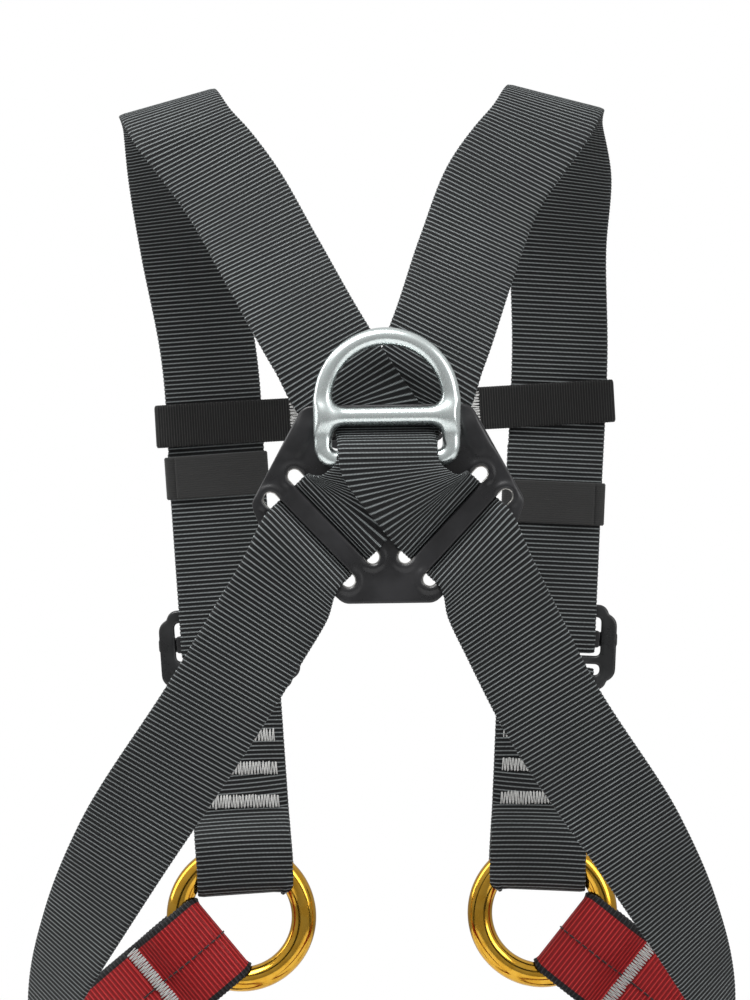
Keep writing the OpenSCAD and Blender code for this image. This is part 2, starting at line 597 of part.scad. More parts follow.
module at_leg_buckle(side) at_origin() mirror([side < 0 ? 1 : 0, 0, 0])
    translate(leg_buckle_at) rotate([0, leg_buckle_turn, 0]) children();
module left_leg_buckle_frame() color("#202124") at_leg_buckle(-1) adjuster_frame_shape();
module right_leg_buckle_frame() color("#202124") at_leg_buckle(1) adjuster_frame_shape();
module left_leg_buckle_bar() color("#2c2d30") at_leg_buckle(-1) adjuster_bar_shape();
module right_leg_buckle_bar() color("#2c2d30") at_leg_buckle(1) adjuster_bar_shape();

// Short loop that holds the leg buckle, lapped and sewn to the outside of the leg webbing
function tab_route() = let (rail = lower_slot[0] - 0.4,
    spot = function(y, z) [in_frame(leg_buckle_at, leg_buckle_turn, [0, y, z]), leg_buckle_across])
concat(
    [spot(-1.2, -52), spot(-1.6, -38), spot(-layer_y, -24)],
    [for (a = [180:-30:0]) spot(layer_y * cos(a), rail + layer_y * sin(a))],
    [spot(layer_y, -24), spot(half_layer - 0.5, -38), spot(half_layer - 0.1, -52)]);
module leg_tab(side) color("#2a2c2f") at_origin() ribbon(flip(tab_route(), side), webbing_w, webbing_t);
module left_leg_tab() leg_tab(-1);
module right_leg_tab() leg_tab(1);

module leg_keeper(side) color("#161617") at_leg_buckle(side)
    translate([0, 0, 48]) keeper_band(-layer_y - webbing_t / 2, leg_tail_y + webbing_t / 2);
module left_leg_keeper() leg_keeper(-1);
module right_leg_keeper() leg_keeper(1);

// Two bar tacks that sew the end of the main webbing to the outside of the leg webbing
module hip_stitching(side) color("#d8d8d6") at_origin()
    for (z = [-277, -298])
        translate([side * (hip_x + hip_lap + webbing_t / 2 + 0.5) + hip_sway, 94, z])
            rotate([0, 0, 90]) upright(0.8) round_rect(webbing_w - 8, 5, 1);
module left_hip_stitching() hip_stitching(-1);
module right_hip_stitching() hip_stitching(1);

dorsal_plate();
dorsal_ring();
left_main_webbing();
right_main_webbing();
left_front_strap();
right_front_strap();
left_adjuster_frame();
right_adjuster_frame();
left_adjuster_bar();
right_adjuster_bar();
left_strap_keeper();
right_strap_keeper();
left_hip_ring();
right_hip_ring();
left_front_bar_tacks();
right_front_bar_tacks();
left_chest_webbing();
right_chest_webbing();
left_chest_bar_tack();
right_chest_bar_tack();
chest_buckle_socket();
chest_buckle_plug();
upper_prong();
lower_prong();
left_leg_webbing();
right_leg_webbing();
left_leg_bar_tack();
right_leg_bar_tack();
left_leg_buckle_frame();
right_leg_buckle_frame();
left_leg_buckle_bar();
right_leg_buckle_bar();
left_leg_tab();
right_leg_tab();
left_leg_keeper();
right_leg_keeper();
left_hip_stitching();
right_hip_stitching();
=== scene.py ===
"""Looks of a full-body fall-arrest harness in its worn shape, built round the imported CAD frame.

Sizes and places in the classes are millimetres in plate coordinates: X to the wearer's right, Y to the
wearer's front, Z up, with zero at the middle of the dorsal plate. Each mesh is handed to Blender in metres
in the row frame, whose origin is the centre of the dorsal ring's opening.
"""

import logging
import math
from dataclasses import dataclass, field
from enum import Enum
from typing import Callable, Optional, Sequence

import bpy
import numpy as np
from mathutils import Matrix, Vector


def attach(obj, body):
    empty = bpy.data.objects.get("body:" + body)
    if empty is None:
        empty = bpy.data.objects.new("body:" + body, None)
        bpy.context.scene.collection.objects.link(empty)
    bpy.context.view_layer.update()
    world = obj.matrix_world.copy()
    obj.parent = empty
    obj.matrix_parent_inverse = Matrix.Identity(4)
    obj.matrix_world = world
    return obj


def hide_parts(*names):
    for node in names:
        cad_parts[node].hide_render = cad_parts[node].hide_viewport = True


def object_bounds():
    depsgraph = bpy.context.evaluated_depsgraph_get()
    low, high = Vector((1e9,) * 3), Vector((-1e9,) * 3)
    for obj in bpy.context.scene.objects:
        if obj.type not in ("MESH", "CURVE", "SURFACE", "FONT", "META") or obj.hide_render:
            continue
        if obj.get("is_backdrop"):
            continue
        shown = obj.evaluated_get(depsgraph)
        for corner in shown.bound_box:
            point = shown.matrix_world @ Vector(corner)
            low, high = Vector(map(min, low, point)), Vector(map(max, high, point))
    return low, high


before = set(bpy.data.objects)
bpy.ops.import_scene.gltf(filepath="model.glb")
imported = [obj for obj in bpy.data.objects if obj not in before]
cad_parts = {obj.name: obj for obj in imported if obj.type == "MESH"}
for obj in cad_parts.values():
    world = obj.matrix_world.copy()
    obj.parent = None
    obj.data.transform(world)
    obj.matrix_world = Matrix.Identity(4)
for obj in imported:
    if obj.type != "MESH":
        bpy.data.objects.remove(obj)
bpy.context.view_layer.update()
MM = 0.001
LOG = logging.getLogger("harness")

Colour = tuple[float, float, float]
Field = Callable[[np.ndarray], np.ndarray]
Station = tuple[Sequence[float], Sequence[float]]


class Side(Enum):
    """The wearer's two sides, as the sign of X."""

    LEFT = -1
    RIGHT = 1

    @property
    def word(self) -> str:
        """The side as it stands in the names of pieces and nodes."""
        return self.name.lower()


class Rib(Enum):
    """Which way the ribs of a woven band run."""

    ACROSS = "across"
    ALONG = "along"


# ---------- sizes ----------


@dataclass(frozen=True)
class Layout:
    """Driving sizes of the harness, the same as the CAD's, with what follows from them."""

    webbing_w: float = 45.0
    webbing_t: float = 1.8
    chest_w: float = 20.0
    chest_t: float = 1.4
    elastic_t: float = 1.2
    keeper_h: float = 20.0
    layer_gap: float = 0.3
    run_gap: float = 0.5
    plate_t: float = 2.2
    plate_half_w: float = 57.0
    plate_top_half: float = 36.0
    plate_bottom_half: float = 19.5
    plate_up: float = 42.0
    plate_down: float = 43.5
    slot_w: float = 5.6
    slot_spare: float = 3.4
    slot_pitch: float = 14.4
    slot_lean: float = 46.8
    slot_x: float = 23.5
    slot_z: float = -6.8
    dorsal_wire: float = 8.0
    dorsal_spare: float = 2.0
    hinge_z: float = 17.5
    cross_bar_z: float = 36.0
    bow_z: float = 42.5
    hip_ring_od: float = 70.0
    hip_ring_wire: float = 11.5
    hip_ring_x: float = 70.4
    hip_ring_drop: float = 194.0
    adjuster_h: float = 40.0
    adjuster_t: float = 3.0
    adjuster_rail: float = 7.5
    adjuster_z: float = -69.0
    buckle_bar_x: float = 24.0
    shoulder_x: float = 85.4
    shoulder_y: float = 72.0
    shoulder_z: float = 177.0
    front_y: float = 180.0
    front_high_z: float = 70.0
    tail_top_z: float = 24.0
    chest_z: float = 40.2
    chest_tilt: float = 2.5
    shoulder_sway: float = -9.0
    hip_sway: float = -5.5
    hip_x: float = 155.0
    hip_lap: float = 4.6
    leg_drop: float = 392.0
    leg_lean: float = 39.0
    leg_buckle_turn: float = 218.5

    @property
    def dorsal_inner(self) -> float:
        """Free width inside the dorsal ring."""
        return self.webbing_w + self.dorsal_spare

    @property
    def dorsal_leg_x(self) -> float:
        """Half distance between the middles of the dorsal ring's legs."""
        return (self.dorsal_inner + self.dorsal_wire) / 2

    @property
    def dorsal_y(self) -> float:
        """Depth of the dorsal ring's middle plane."""
        return -self.plate_t / 2 - self.dorsal_wire / 2 - 0.9

    @property
    def origin(self) -> np.ndarray:
        """The row frame's origin: the centre of the dorsal ring's opening."""
        return np.array([0.0, self.dorsal_y, (self.cross_bar_z + self.bow_z + self.dorsal_leg_x) / 2])

    @property
    def slot_dir(self) -> np.ndarray:
        """Direction of the strap slots on the wearer's right."""
        lean = math.radians(self.slot_lean)
        return np.array([math.cos(lean), 0.0, math.sin(lean)])

    @property
    def slot_out(self) -> np.ndarray:
        """Direction from the upper slot of a pair to the lower one."""
        lean = math.radians(self.slot_lean)
        return np.array([math.sin(lean), 0.0, -math.cos(lean)])

    @property
    def half_layer(self) -> float:
        """Half the distance between two layers of webbing that lie on each other."""
        return (self.webbing_t + self.layer_gap) / 2

    @property
    def layer_y(self) -> float:
        """Distance of a layer of webbing from the middle of an adjuster frame."""
        return self.adjuster_t / 2 + self.webbing_t / 2 + 0.6

    @property
    def main_y(self) -> float:
        """Depth of the main webbing on the chest."""
        return self.front_y - self.layer_y

    @property
    def tail_y(self) -> float:
        """Depth of the free tail on the chest."""
        return self.main_y + self.webbing_t + self.layer_gap

    @property
    def ring_r(self) -> float:
        """Radius of a hip ring's middle line."""
        return (self.hip_ring_od - self.hip_ring_wire) / 2

    @property
    def wrap_r(self) -> float:
        """Radius at which webbing turns round a hip ring's wire."""
        return self.hip_ring_wire / 2 + self.webbing_t / 2 + 0.35

    @property
    def front_high_x(self) -> float:
        """Half distance between the front straps at their tops."""
        return self.shoulder_x - 3.3

    @property
    def front_taper(self) -> float:
        """How far the front straps come together from the chest down to the hip rings."""
        return self.front_high_x - (self.hip_ring_x - 3.3)

    @property
    def front_lean(self) -> float:
        """Lean of the front straps, in degrees."""
        return math.degrees(math.atan(self.front_taper / (self.front_high_z + self.hip_ring_drop)))

    @property
    def front_across(self) -> np.ndarray:
        """Width direction of the left front strap."""
        lean = math.radians(self.front_lean)
        return np.array([math.cos(lean), 0.0, math.sin(lean)])

    def front_x(self, z: float) -> float:
        """Middle of the left front strap at a height."""
        share = (self.front_high_z - z) / (self.front_high_z + self.hip_ring_drop)
        return -(self.front_high_x - self.front_taper * share)

    def sway(self, p: np.ndarray) -> np.ndarray:
        """Sideways set of the worn straps at a point, at the shoulders and at the hips."""

        def ramp(v: float) -> float:
            """The value held between 0 and 1."""
            return max(0.0, min(1.0, v))

        back = ramp((136 - p[1]) / 32)
        high = back * ramp((p[2] - 35) / 95) + (1 - back) * 0.62 * ramp((p[2] - 72) / 58)
        low = ramp((165 - p[1]) / 25) * ramp((-25 - p[2]) / 80)
        return np.array([self.shoulder_sway * high + self.hip_sway * low, 0.0, 0.0])


L = Layout()


# ---------- vectors and routes ----------


def unit(v: Sequence[float]) -> np.ndarray:
    """The vector, or each row of vectors, at length one."""
    v = np.asarray(v, float)
    return v / np.maximum(np.linalg.norm(v, axis=-1, keepdims=True), 1e-12)


def vec(*v: float) -> np.ndarray:
    """A point or a direction."""
    return np.array(v, float)


def in_frame(base: Sequence[float], turn: float, p: Sequence[float]) -> np.ndarray:
    """A point given in a frame that is turned about Y.

    Args:
        base: the frame's origin.
        turn: the frame's turn in degrees.
        p: the point in that frame.

    Returns:
        The point in plate coordinates.
    """
    c, s = math.cos(math.radians(turn)), math.sin(math.radians(turn))
    return vec(base[0] + p[0] * c + p[2] * s, base[1] + p[1], base[2] + p[2] * c - p[0] * s)


def turned(turn: float) -> np.ndarray:
    """Rotation about Y by an angle in degrees, as in_frame uses it."""
    c, s = math.cos(math.radians(turn)), math.sin(math.radians(turn))
    return np.array([[c, 0.0, s], [0.0, 1.0, 0.0], [-s, 0.0, c]])


@dataclass
class Route:
    """The path of a strap, as stations of a point and the direction of the strap's width."""

    stations: list[Station]
    closed: bool = False

    def mirrored(self, factor: float) -> "Route":
        """The route with its X multiplied by 1 or -1."""
        flip = np.array([factor, 1.0, 1.0])
        return Route([(np.asarray(p) * flip, np.asarray(w) * flip) for p, w in self.stations], self.closed)

    def worn(self, factor: float) -> "Route":
        """The mirrored route with the sideways set of the worn straps."""
        return Route([(p + L.sway(p), w) for p, w in self.mirrored(factor).stations], self.closed)

    def sample(self, step: float = 0.35) -> tuple[np.ndarray, np.ndarray, np.ndarray]:
        """A smooth curve through the stations.

        Args:
            step: distance between samples.

        Returns:
            The length along the curve, the points and the width directions of the samples.
        """
        knots = np.array([[*p, *w] for p, w in self.stations], float)
        h = np.linalg.norm(np.diff(knots[:, :3], axis=0), axis=1)[:, None]
        rise = np.diff(knots, axis=0) / h
        slope = np.vstack([rise[:1], (rise[1:] * h[:-1] + rise[:-1] * h[1:]) / (h[1:] + h[:-1]), rise[-1:]])
        parts = []
        for i, span in enumerate(h[:, 0]):
            t = np.linspace(0, 1, max(2, math.ceil(span / step) + 1))[:-1, None]
            parts.append(knots[i] * (2 * t**3 - 3 * t**2 + 1) + slope[i] * span * (t**3 - 2 * t**2 + t)
                + knots[i + 1] * (3 * t**2 - 2 * t**3) + slope[i + 1] * span * (t**3 - t**2))
        line = np.vstack([*parts, knots[-1:]])
        gone = np.concatenate([[0.0], np.cumsum(np.linalg.norm(np.diff(line[:, :3], axis=0), axis=1))])
        return gone, line[:, :3], line[:, 3:]


@dataclass(frozen=True)
class Wire:
    """A round ring of round wire that a strap is folded over."""

    centre: tuple[float, float, float]
    radius: float
    wire_r: float

    def keep_off(self, surface: np.ndarray, room: float) -> np.ndarray:
        """Moves a strap's middle surface off the wire, as the fold does when it is pulled tight.

        Args:
            surface: rows of points of the surface.
            room: distance that the surface keeps from the wire's skin.

        Returns:
            The moved surface.
        """
        moved = surface.copy()
        for _ in range(4):
            from_centre = moved - np.asarray(self.centre)
            flat = from_centre * np.array([1.0, 0.0, 1.0])
            from_line = from_centre - unit(flat) * self.radius
            short = self.wire_r + room - np.linalg.norm(from_line, axis=-1, keepdims=True)
            push = unit(from_line) * np.maximum(short, 0.0)
            eased = push
            for _ in range(6):
                eased = (np.roll(eased, 1, 0) + eased * 2 + np.roll(eased, -1, 0)) / 4
            moved = moved + np.where(short > 0, push, eased * 0.6)
        return moved


# ---------- shapes ----------


@dataclass
class Shape:
    """A mesh in plate millimetres, with the lay of the cloth or thread at each point."""

    points: np.ndarray
    faces: list[tuple[int, ...]]
    lay: Optional[np.ndarray] = None
    wear: Optional[np.ndarray] = None

    @staticmethod
    def joined(shapes: Sequence["Shape"]) -> "Shape":
        """Several shapes as one mesh of loose parts."""
        faces, start = [], 0
        for shape in shapes:
            faces += [tuple(k + start for k in f) for f in shape.faces]
            start += len(shape.points)
        lays = [s.lay if s.lay is not None else np.zeros_like(s.points) for s in shapes]
        return Shape(np.vstack([s.points for s in shapes]), faces, np.vstack(lays))

    def mirrored(self, factor: float) -> "Shape":
        """The shape with its X multiplied by 1 or -1."""
        if factor > 0:
            return self
        faces = [tuple(reversed(f)) for f in self.faces]
        return Shape(self.points * np.array([-1.0, 1.0, 1.0]), faces, self.lay, self.wear)

    def moved(self, shift: np.ndarray, turn: float = 0.0,
            pivot: Sequence[float] = (0.0, 0.0, 0.0)) -> "Shape":
        """The shape turned about Y at a pivot by an angle in degrees, then shifted."""
        points = (self.points - np.asarray(pivot)) @ turned(turn).T + np.asarray(pivot) + shift
        return Shape(points, self.faces, self.lay, self.wear)


def grid_faces(rows: int, ring: int, start: int = 0, wrap: bool = False) -> list[tuple[int, ...]]:
    """Quads between closed rings of points.

    Args:
        rows: number of rings.
        ring: points in each ring.
        start: number of the first point.
        wrap: whether the last ring joins the first.

    Returns:
        The faces, turned outwards for a ring that runs counterclockwise about the sweep.
    """
    i = np.arange(rows if wrap else rows - 1)[:, None]
    j = np.arange(ring)[None, :]
    a, b, k = i * ring, (i + 1) % rows * ring, (j + 1) % ring
    quads = np.stack([a + j, a + k, b + k, b + j], -1).reshape(-1, 4) + start
    return [tuple(q) for q in quads.tolist()]


def tube(path: np.ndarray, radius: float, up: Sequence[float], sides: int = 6) -> Shape:
    """A thread along a path.

    Args:
        path: points of the thread's middle.
        radius: half the thread's thickness.
        up: a direction that the path never follows.
        sides: number of sides.

    Returns:
        The thread, closed at both ends, its lay the length along it and the turn about it.
    """
    ahead = unit(np.gradient(path, axis=0))
    side = unit(np.cross(np.asarray(up, float), ahead))
    top = np.cross(ahead, side)
    angle = np.arange(sides) * 2 * math.pi / sides
    ring = path[:, None] + radius * (side[:, None] * np.cos(angle)[None, :, None]
        + top[:, None] * np.sin(angle)[None, :, None])
    gone = np.concatenate([[0.0], np.cumsum(np.linalg.norm(np.diff(path, axis=0), axis=1))])
    lay = np.stack(np.broadcast_arrays(angle[None, :] * radius, gone[:, None], 0.0), -1).reshape(-1, 3)
    faces = grid_faces(len(path), sides)
    last = (len(path) - 1) * sides
    faces += [tuple(reversed(range(sides))), tuple(range(last, last + sides))]
    return Shape(ring.reshape(-1, 3), faces, lay)


# ---------- distance fields of pressed and forged metal ----------


def corner_box(x: np.ndarray, z: np.ndarray, half_x: float, half_z: float, r: float) -> np.ndarray:
    """Distance from a centred rectangle with round corners, negative inside."""
    qx, qz = np.abs(x) - (half_x - r), np.abs(z) - (half_z - r)
    return np.hypot(np.maximum(qx, 0), np.maximum(qz, 0)) + np.minimum(np.maximum(qx, qz), 0) - r


def long_slot(x: np.ndarray, z: np.ndarray, half_len: float, r: float) -> np.ndarray:
    """Distance from a centred slot with round ends along X, negative inside."""
    return np.hypot(np.maximum(np.abs(x) - (half_len - r), 0), z) - r


def blend_min(a: np.ndarray, b: np.ndarray, fillet: float) -> np.ndarray:
    """The nearer of two surfaces, with a fillet where they meet."""
    h = np.maximum(fillet - np.abs(a - b), 0) / fillet
    return np.minimum(a, b) - h * h * fillet / 4


def slab(flat: np.ndarray, y: np.ndarray, half_t: float | np.ndarray, edge: float) -> np.ndarray:
    """Distance from a flat outline given thickness, with its edges rounded.

    Args:
        flat: distance from the outline, negative inside.
        y: height over the middle of the thickness.
        half_t: half the thickness.
        edge: radius of the rounded edges.

    Returns:
        The distance from the solid, negative inside.
    """
    qx, qy = flat + edge, np.abs(y) - (half_t - edge)
    return np.hypot(np.maximum(qx, 0), np.maximum(qy, 0)) + np.minimum(np.maximum(qx, qy), 0) - edge


def convex_outline(x: np.ndarray, z: np.ndarray, corners: np.ndarray, r: float) -> np.ndarray:
    """Distance from a convex polygon with round corners, negative inside.

    Args:
        x: first coordinate of the points.
        z: second coordinate of the points.
        corners: the polygon's corners, counterclockwise.
        r: radius of its corners.

    Returns:
        The distances.
    """
    after = np.roll(corners, -1, 0)
    run = unit(after - corners)
    out = np.stack([run[:, 1], -run[:, 0]], -1)
    reach = np.einsum("ij,ij->i", out, corners) - r
    before, reach_before = np.roll(out, 1, 0), np.roll(reach, 1)
    det = before[:, 0] * out[:, 1] - before[:, 1] * out[:, 0]
    inset = np.stack([(reach_before * out[:, 1] - reach * before[:, 1]) / det,
        (before[:, 0] * reach - out[:, 0] * reach_before) / det], -1)
    nearest, inside = np.full(x.shape, 1e9), np.full(x.shape, -1e9)
    for a, b, n, d in zip(inset, np.roll(inset, -1, 0), out, reach):
        dx, dz, ex, ez = x - a[0], z - a[1], b[0] - a[0], b[1] - a[1]
        t = np.clip((dx * ex + dz * ez) / (ex * ex + ez * ez), 0, 1)
        nearest = np.minimum(nearest, np.hypot(dx - ex * t, dz - ez * t))
        inside = np.maximum(inside, x * n[0] + z * n[1] - d)
    return np.where(inside > 0, nearest, inside) - r


def remeshed(node: str, voxel: float) -> tuple[np.ndarray, list[tuple[int, ...]]]:
    """An even mesh over a CAD node.

    Args:
        node: the CAD node's name.
        voxel: size of the mesh's faces in millimetres.

    Returns:
        Its points in plate millimetres and its faces.
    """
    blank = bpy.data.objects.new("blank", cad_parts[node].data.copy())
    bpy.context.scene.collection.objects.link(blank)
    even = blank.modifiers.new("even", "REMESH")
    even.mode, even.voxel_size, even.adaptivity = "VOXEL", voxel * MM, 0.0
    mesh = blank.evaluated_get(bpy.context.evaluated_depsgraph_get()).to_mesh()
    points = np.zeros(len(mesh.vertices) * 3, np.float32)
    mesh.vertices.foreach_get("co", points)
    faces = [tuple(p.vertices) for p in mesh.polygons]
    bpy.data.objects.remove(blank)
    return points.reshape(-1, 3).astype(float) / MM + L.origin, faces


def relaxed(points: np.ndarray, faces: Sequence[tuple[int, ...]], times: int) -> np.ndarray:
    """The points, each moved half way to the middle of its neighbours, several times."""
    loops = np.array([f for f in faces if len(f) == 4])
    a = np.concatenate([loops[:, k] for k in range(4)])
    b = np.concatenate([loops[:, (k + 1) % 4] for k in range(4)])
    count = np.maximum(np.bincount(a, minlength=len(points)), 1)[:, None]
    for _ in range(times):
        mean = np.stack([np.bincount(a, points[b, k], len(points)) for k in range(3)], -1) / count
        points = (points + mean) / 2
    return points


def settled(points: np.ndarray, distance: Field, steps: int = 3) -> np.ndarray:
    """The points, moved onto the surface where a distance field is zero."""
    tiny = 0.02
    for _ in range(steps):
        d = distance(points)
        pull = np.stack([(distance(points + e) - distance(points - e)) / (2 * tiny)
            for e in np.eye(3) * tiny], -1)
        size = np.maximum((pull * pull).sum(-1, keepdims=True), 0.05)
        points = points - np.clip(d, -1.5, 1.5)[:, None] * pull / size
    return points


def forged(node: str, distance: Field, voxel: float, wear: Optional[Field] = None) -> Shape:
    """A metal piece with its true radii and fillets, in the place of a CAD node.

    Args:
        node: the CAD node that it starts from.
        distance: distance from the finished surface.
        voxel: size of its faces in millimetres.
        wear: how far the finish is rubbed off, from 0 to 1.

    Returns:
        The piece.
    """
    points, faces = remeshed(node, voxel)
    for _ in range(3):
        points = settled(relaxed(points, faces, 3), distance)
    points = relaxed(points, faces, 5)
    return Shape(points, faces, wear=None if wear is None else wear(points))


def moulded(node: str, voxel: float, softness: int) -> Shape:
    """A moulded plastic piece: a CAD node with its edges softened."""
    points, faces = remeshed(node, voxel)
    return Shape(relaxed(points, faces, softness), faces)


# ---------- finishes ----------


class Recipe:
    """Writes the nodes of one material."""

    def __init__(self, name: str) -> None:
        """Starts a material with its shader."""
        self.material = bpy.data.materials.new(name)
        self.material.use_nodes = True
        self.tree = self.material.node_tree
        self.tree.nodes.clear()
        self.shader = self.add("ShaderNodeBsdfPrincipled")
        output = self.add("ShaderNodeOutputMaterial")
        self.tree.links.new(self.shader.outputs[0], output.inputs[0])

    def add(self, kind: str, **settings: object) -> bpy.types.Node:
        """A node with its settings."""
        node = self.tree.nodes.new(kind)
        for name, value in settings.items():
            setattr(node, name, value)
        return node

    def feed(self, socket: bpy.types.NodeSocket, value: object) -> None:
        """Links a socket, or sets it where the value is a plain one."""
        if isinstance(value, bpy.types.NodeSocket):
            self.tree.links.new(value, socket)
        elif isinstance(value, tuple) and len(value) == 3 and socket.type == "RGBA":
            socket.default_value = (*value, 1.0)
        else:
            socket.default_value = value

    def math(self, operation: str, *values: object) -> bpy.types.NodeSocket:
        """The result of a math node."""
        node = self.add("ShaderNodeMath", operation=operation)
        for socket, value in zip(node.inputs, values):
            self.feed(socket, value)
        return node.outputs[0]

    def mapped(self, value: object, low: float, high: float, to_low: float,
            to_high: float) -> bpy.types.NodeSocket:
        """A value carried smoothly from one range to another, and held at its ends."""
        node = self.add("ShaderNodeMapRange", interpolation_type="SMOOTHSTEP")
        for socket, given in zip(node.inputs, (value, low, high, to_low, to_high)):
            self.feed(socket, given)
        return node.outputs[0]

    def mixed(self, share: object, first: object, second: object) -> bpy.types.NodeSocket:
        """A colour between two colours."""
        node = self.add("ShaderNodeMix", data_type="RGBA")
        self.feed(node.inputs[0], share)
        self.feed(node.inputs[6], first)
        self.feed(node.inputs[7], second)
        return node.outputs[2]

    def place(self) -> bpy.types.NodeSocket:
        """Where a point is on the object."""
        return self.add("ShaderNodeTexCoord").outputs["Object"]

    def noise(self, scale: float, detail: float = 2.0, vector: object = None) -> bpy.types.NodeSocket:
        """Noise from 0 to 1."""
        node = self.add("ShaderNodeTexNoise")
        self.feed(node.inputs["Vector"], self.place() if vector is None else vector)
        node.inputs["Scale"].default_value = scale
        node.inputs["Detail"].default_value = detail
        return node.outputs["Fac"]

    def read(self, name: str) -> bpy.types.Node:
        """The node that reads one of the mesh's attributes."""
        return self.add("ShaderNodeAttribute", attribute_name=name)

    def lay(self) -> list[bpy.types.NodeSocket]:
        """Across, along and over the cloth, in millimetres."""
        split = self.add("ShaderNodeSeparateXYZ")
        self.feed(split.inputs[0], self.read("lay").outputs["Vector"])
        return list(split.outputs)

    def bump(self, height: object, depth: float, strength: float = 1.0) -> None:
        """Gives the shader a relief of a depth in millimetres."""
        node = self.add("ShaderNodeBump")
        node.inputs["Strength"].default_value = strength
        node.inputs["Distance"].default_value = depth * MM
        self.feed(node.inputs["Height"], height)
        self.feed(self.shader.inputs["Normal"], node.outputs[0])

    def set(self, **values: object) -> None:
        """Sets or links the shader's sockets, named with underscores for spaces."""
        for name, value in values.items():
            self.feed(self.shader.inputs[name.replace("_", " ")], value)


class Finish:
    """A finish of the harness, whose material is made once."""

    made: dict[str, bpy.types.Material] = {}
    name: str

    def write(self, recipe: Recipe) -> None:
        """Writes the finish's nodes."""
        raise NotImplementedError

    def material(self) -> bpy.types.Material:
        """The finish's material."""
        if self.name not in Finish.made:
            recipe = Recipe(self.name)
            self.write(recipe)
            Finish.made[self.name] = recipe.material
        return Finish.made[self.name]


@dataclass(frozen=True)
class Woven(Finish):
    """Filament webbing whose ribs are covered by fine threads that run along it, with painted highlights on
    the rib crests and painted shade in the grooves.
    """

    name: str
    rib: float
    thread: float
    dark: Colour
    lit_colour: Colour
    half_w: float
    edge_w: float = 0.0
    edge_shaded_colour: Colour = (0.004, 0.004, 0.005)
    edge_lit_colour: Colour = (0.05, 0.05, 0.055)
    roughness: float = 0.45
    sheen: float = 0.1

    def write(self, recipe: Recipe) -> None:
        """Threads twisted over each rib, a painted highlight on each rib's crest and painted shade between
        the ribs, and a coloured edge if there is one.
        """
        across, along, _ = recipe.lay()
        turns = recipe.math("DIVIDE", along, self.rib)
        rib = recipe.math("FRACT", turns)
        off_crest = recipe.math("ABSOLUTE", recipe.math("SUBTRACT", rib, 0.5))
        # Painted highlight: the colour goes from the shaded groove colour to the lit colour on each rib's
        # crest, standing in for light falling on the ribs.
        crest = recipe.mapped(off_crest, 0.04, 0.21, 1.0, 0.0)
        stagger = recipe.math("MULTIPLY", recipe.math("FLOOR", turns), 0.5)
        threads = recipe.math("ADD", recipe.math("DIVIDE", across, self.thread), stagger)
        slant = recipe.math("ADD", threads, recipe.math("MULTIPLY", rib, 0.7))
        wave = recipe.math("SINE", recipe.math("MULTIPLY", slant, 2 * math.pi))
        strand = recipe.mapped(wave, -1.0, 1.0, 0.0, 1.0)
        lit = recipe.math("MULTIPLY", crest, recipe.mapped(strand, 0.0, 1.0, 0.3, 1.0))
        patch = recipe.mapped(recipe.noise(28.0, 4.0), 0.3, 0.7, 0.8, 1.0)
        share = recipe.math("MULTIPLY", lit, patch)
        colour = recipe.mixed(share, self.dark, self.lit_colour)
        if self.edge_w:
            # The coloured edge carries the same painted highlight on its rib crests and painted shade in its
            # grooves.
            rim = recipe.mixed(lit, self.edge_shaded_colour, self.edge_lit_colour)
            inner = self.half_w - self.edge_w
            at_edge = recipe.mapped(recipe.math("ABSOLUTE", across), inner - 0.15, inner + 0.15, 0.0, 1.0)
            colour = recipe.mixed(at_edge, colour, rim)
        height = recipe.math("ADD", strand, recipe.math("MULTIPLY", recipe.noise(2600.0), 0.5))
        recipe.bump(height, 0.2, 0.9)
        recipe.set(Base_Color=colour, Sheen_Weight=self.sheen, Sheen_Roughness=0.35, Specular_IOR_Level=0.3)
        recipe.set(Roughness=recipe.mapped(strand, 0.0, 1.0, self.roughness + 0.12, self.roughness - 0.05))


@dataclass(frozen=True)
class Elastic(Finish):
    """Matte elastic with fine cords along it and a fine diagonal weave."""

    name: str = "elastic_black"
    cord: float = 1.1
    dark: Colour = (0.006, 0.006, 0.006)
    lit_colour: Colour = (0.032, 0.032, 0.031)

    def write(self, recipe: Recipe) -> None:
        """A diagonal weave over the cords, the colour painted lighter on the raised cords and darker in the
        hollows as painted shade.
        """
        across, along, _ = recipe.lay()
        cord = recipe.math("SINE", recipe.math("MULTIPLY", across, 2 * math.pi / self.cord))
        slant = recipe.math("ADD", recipe.math("DIVIDE", along, 0.62), recipe.math("DIVIDE", across, 0.9))
        weave = recipe.math("SINE", recipe.math("MULTIPLY", slant, 2 * math.pi))
        height = recipe.mapped(recipe.math("ADD", recipe.math("MULTIPLY", cord, 0.6), weave),
            -1.4, 1.4, 0.0, 1.0)
        recipe.bump(recipe.math("ADD", height, recipe.math("MULTIPLY", recipe.noise(1800.0), 0.4)), 0.14, 0.8)
        # Painted shade: the colour follows the relief, dark in the hollows and lit on the raised cords.
        recipe.set(Base_Color=recipe.mixed(height, self.dark, self.lit_colour), Roughness=0.78)
        recipe.set(Sheen_Weight=0.15, Sheen_Roughness=0.5)


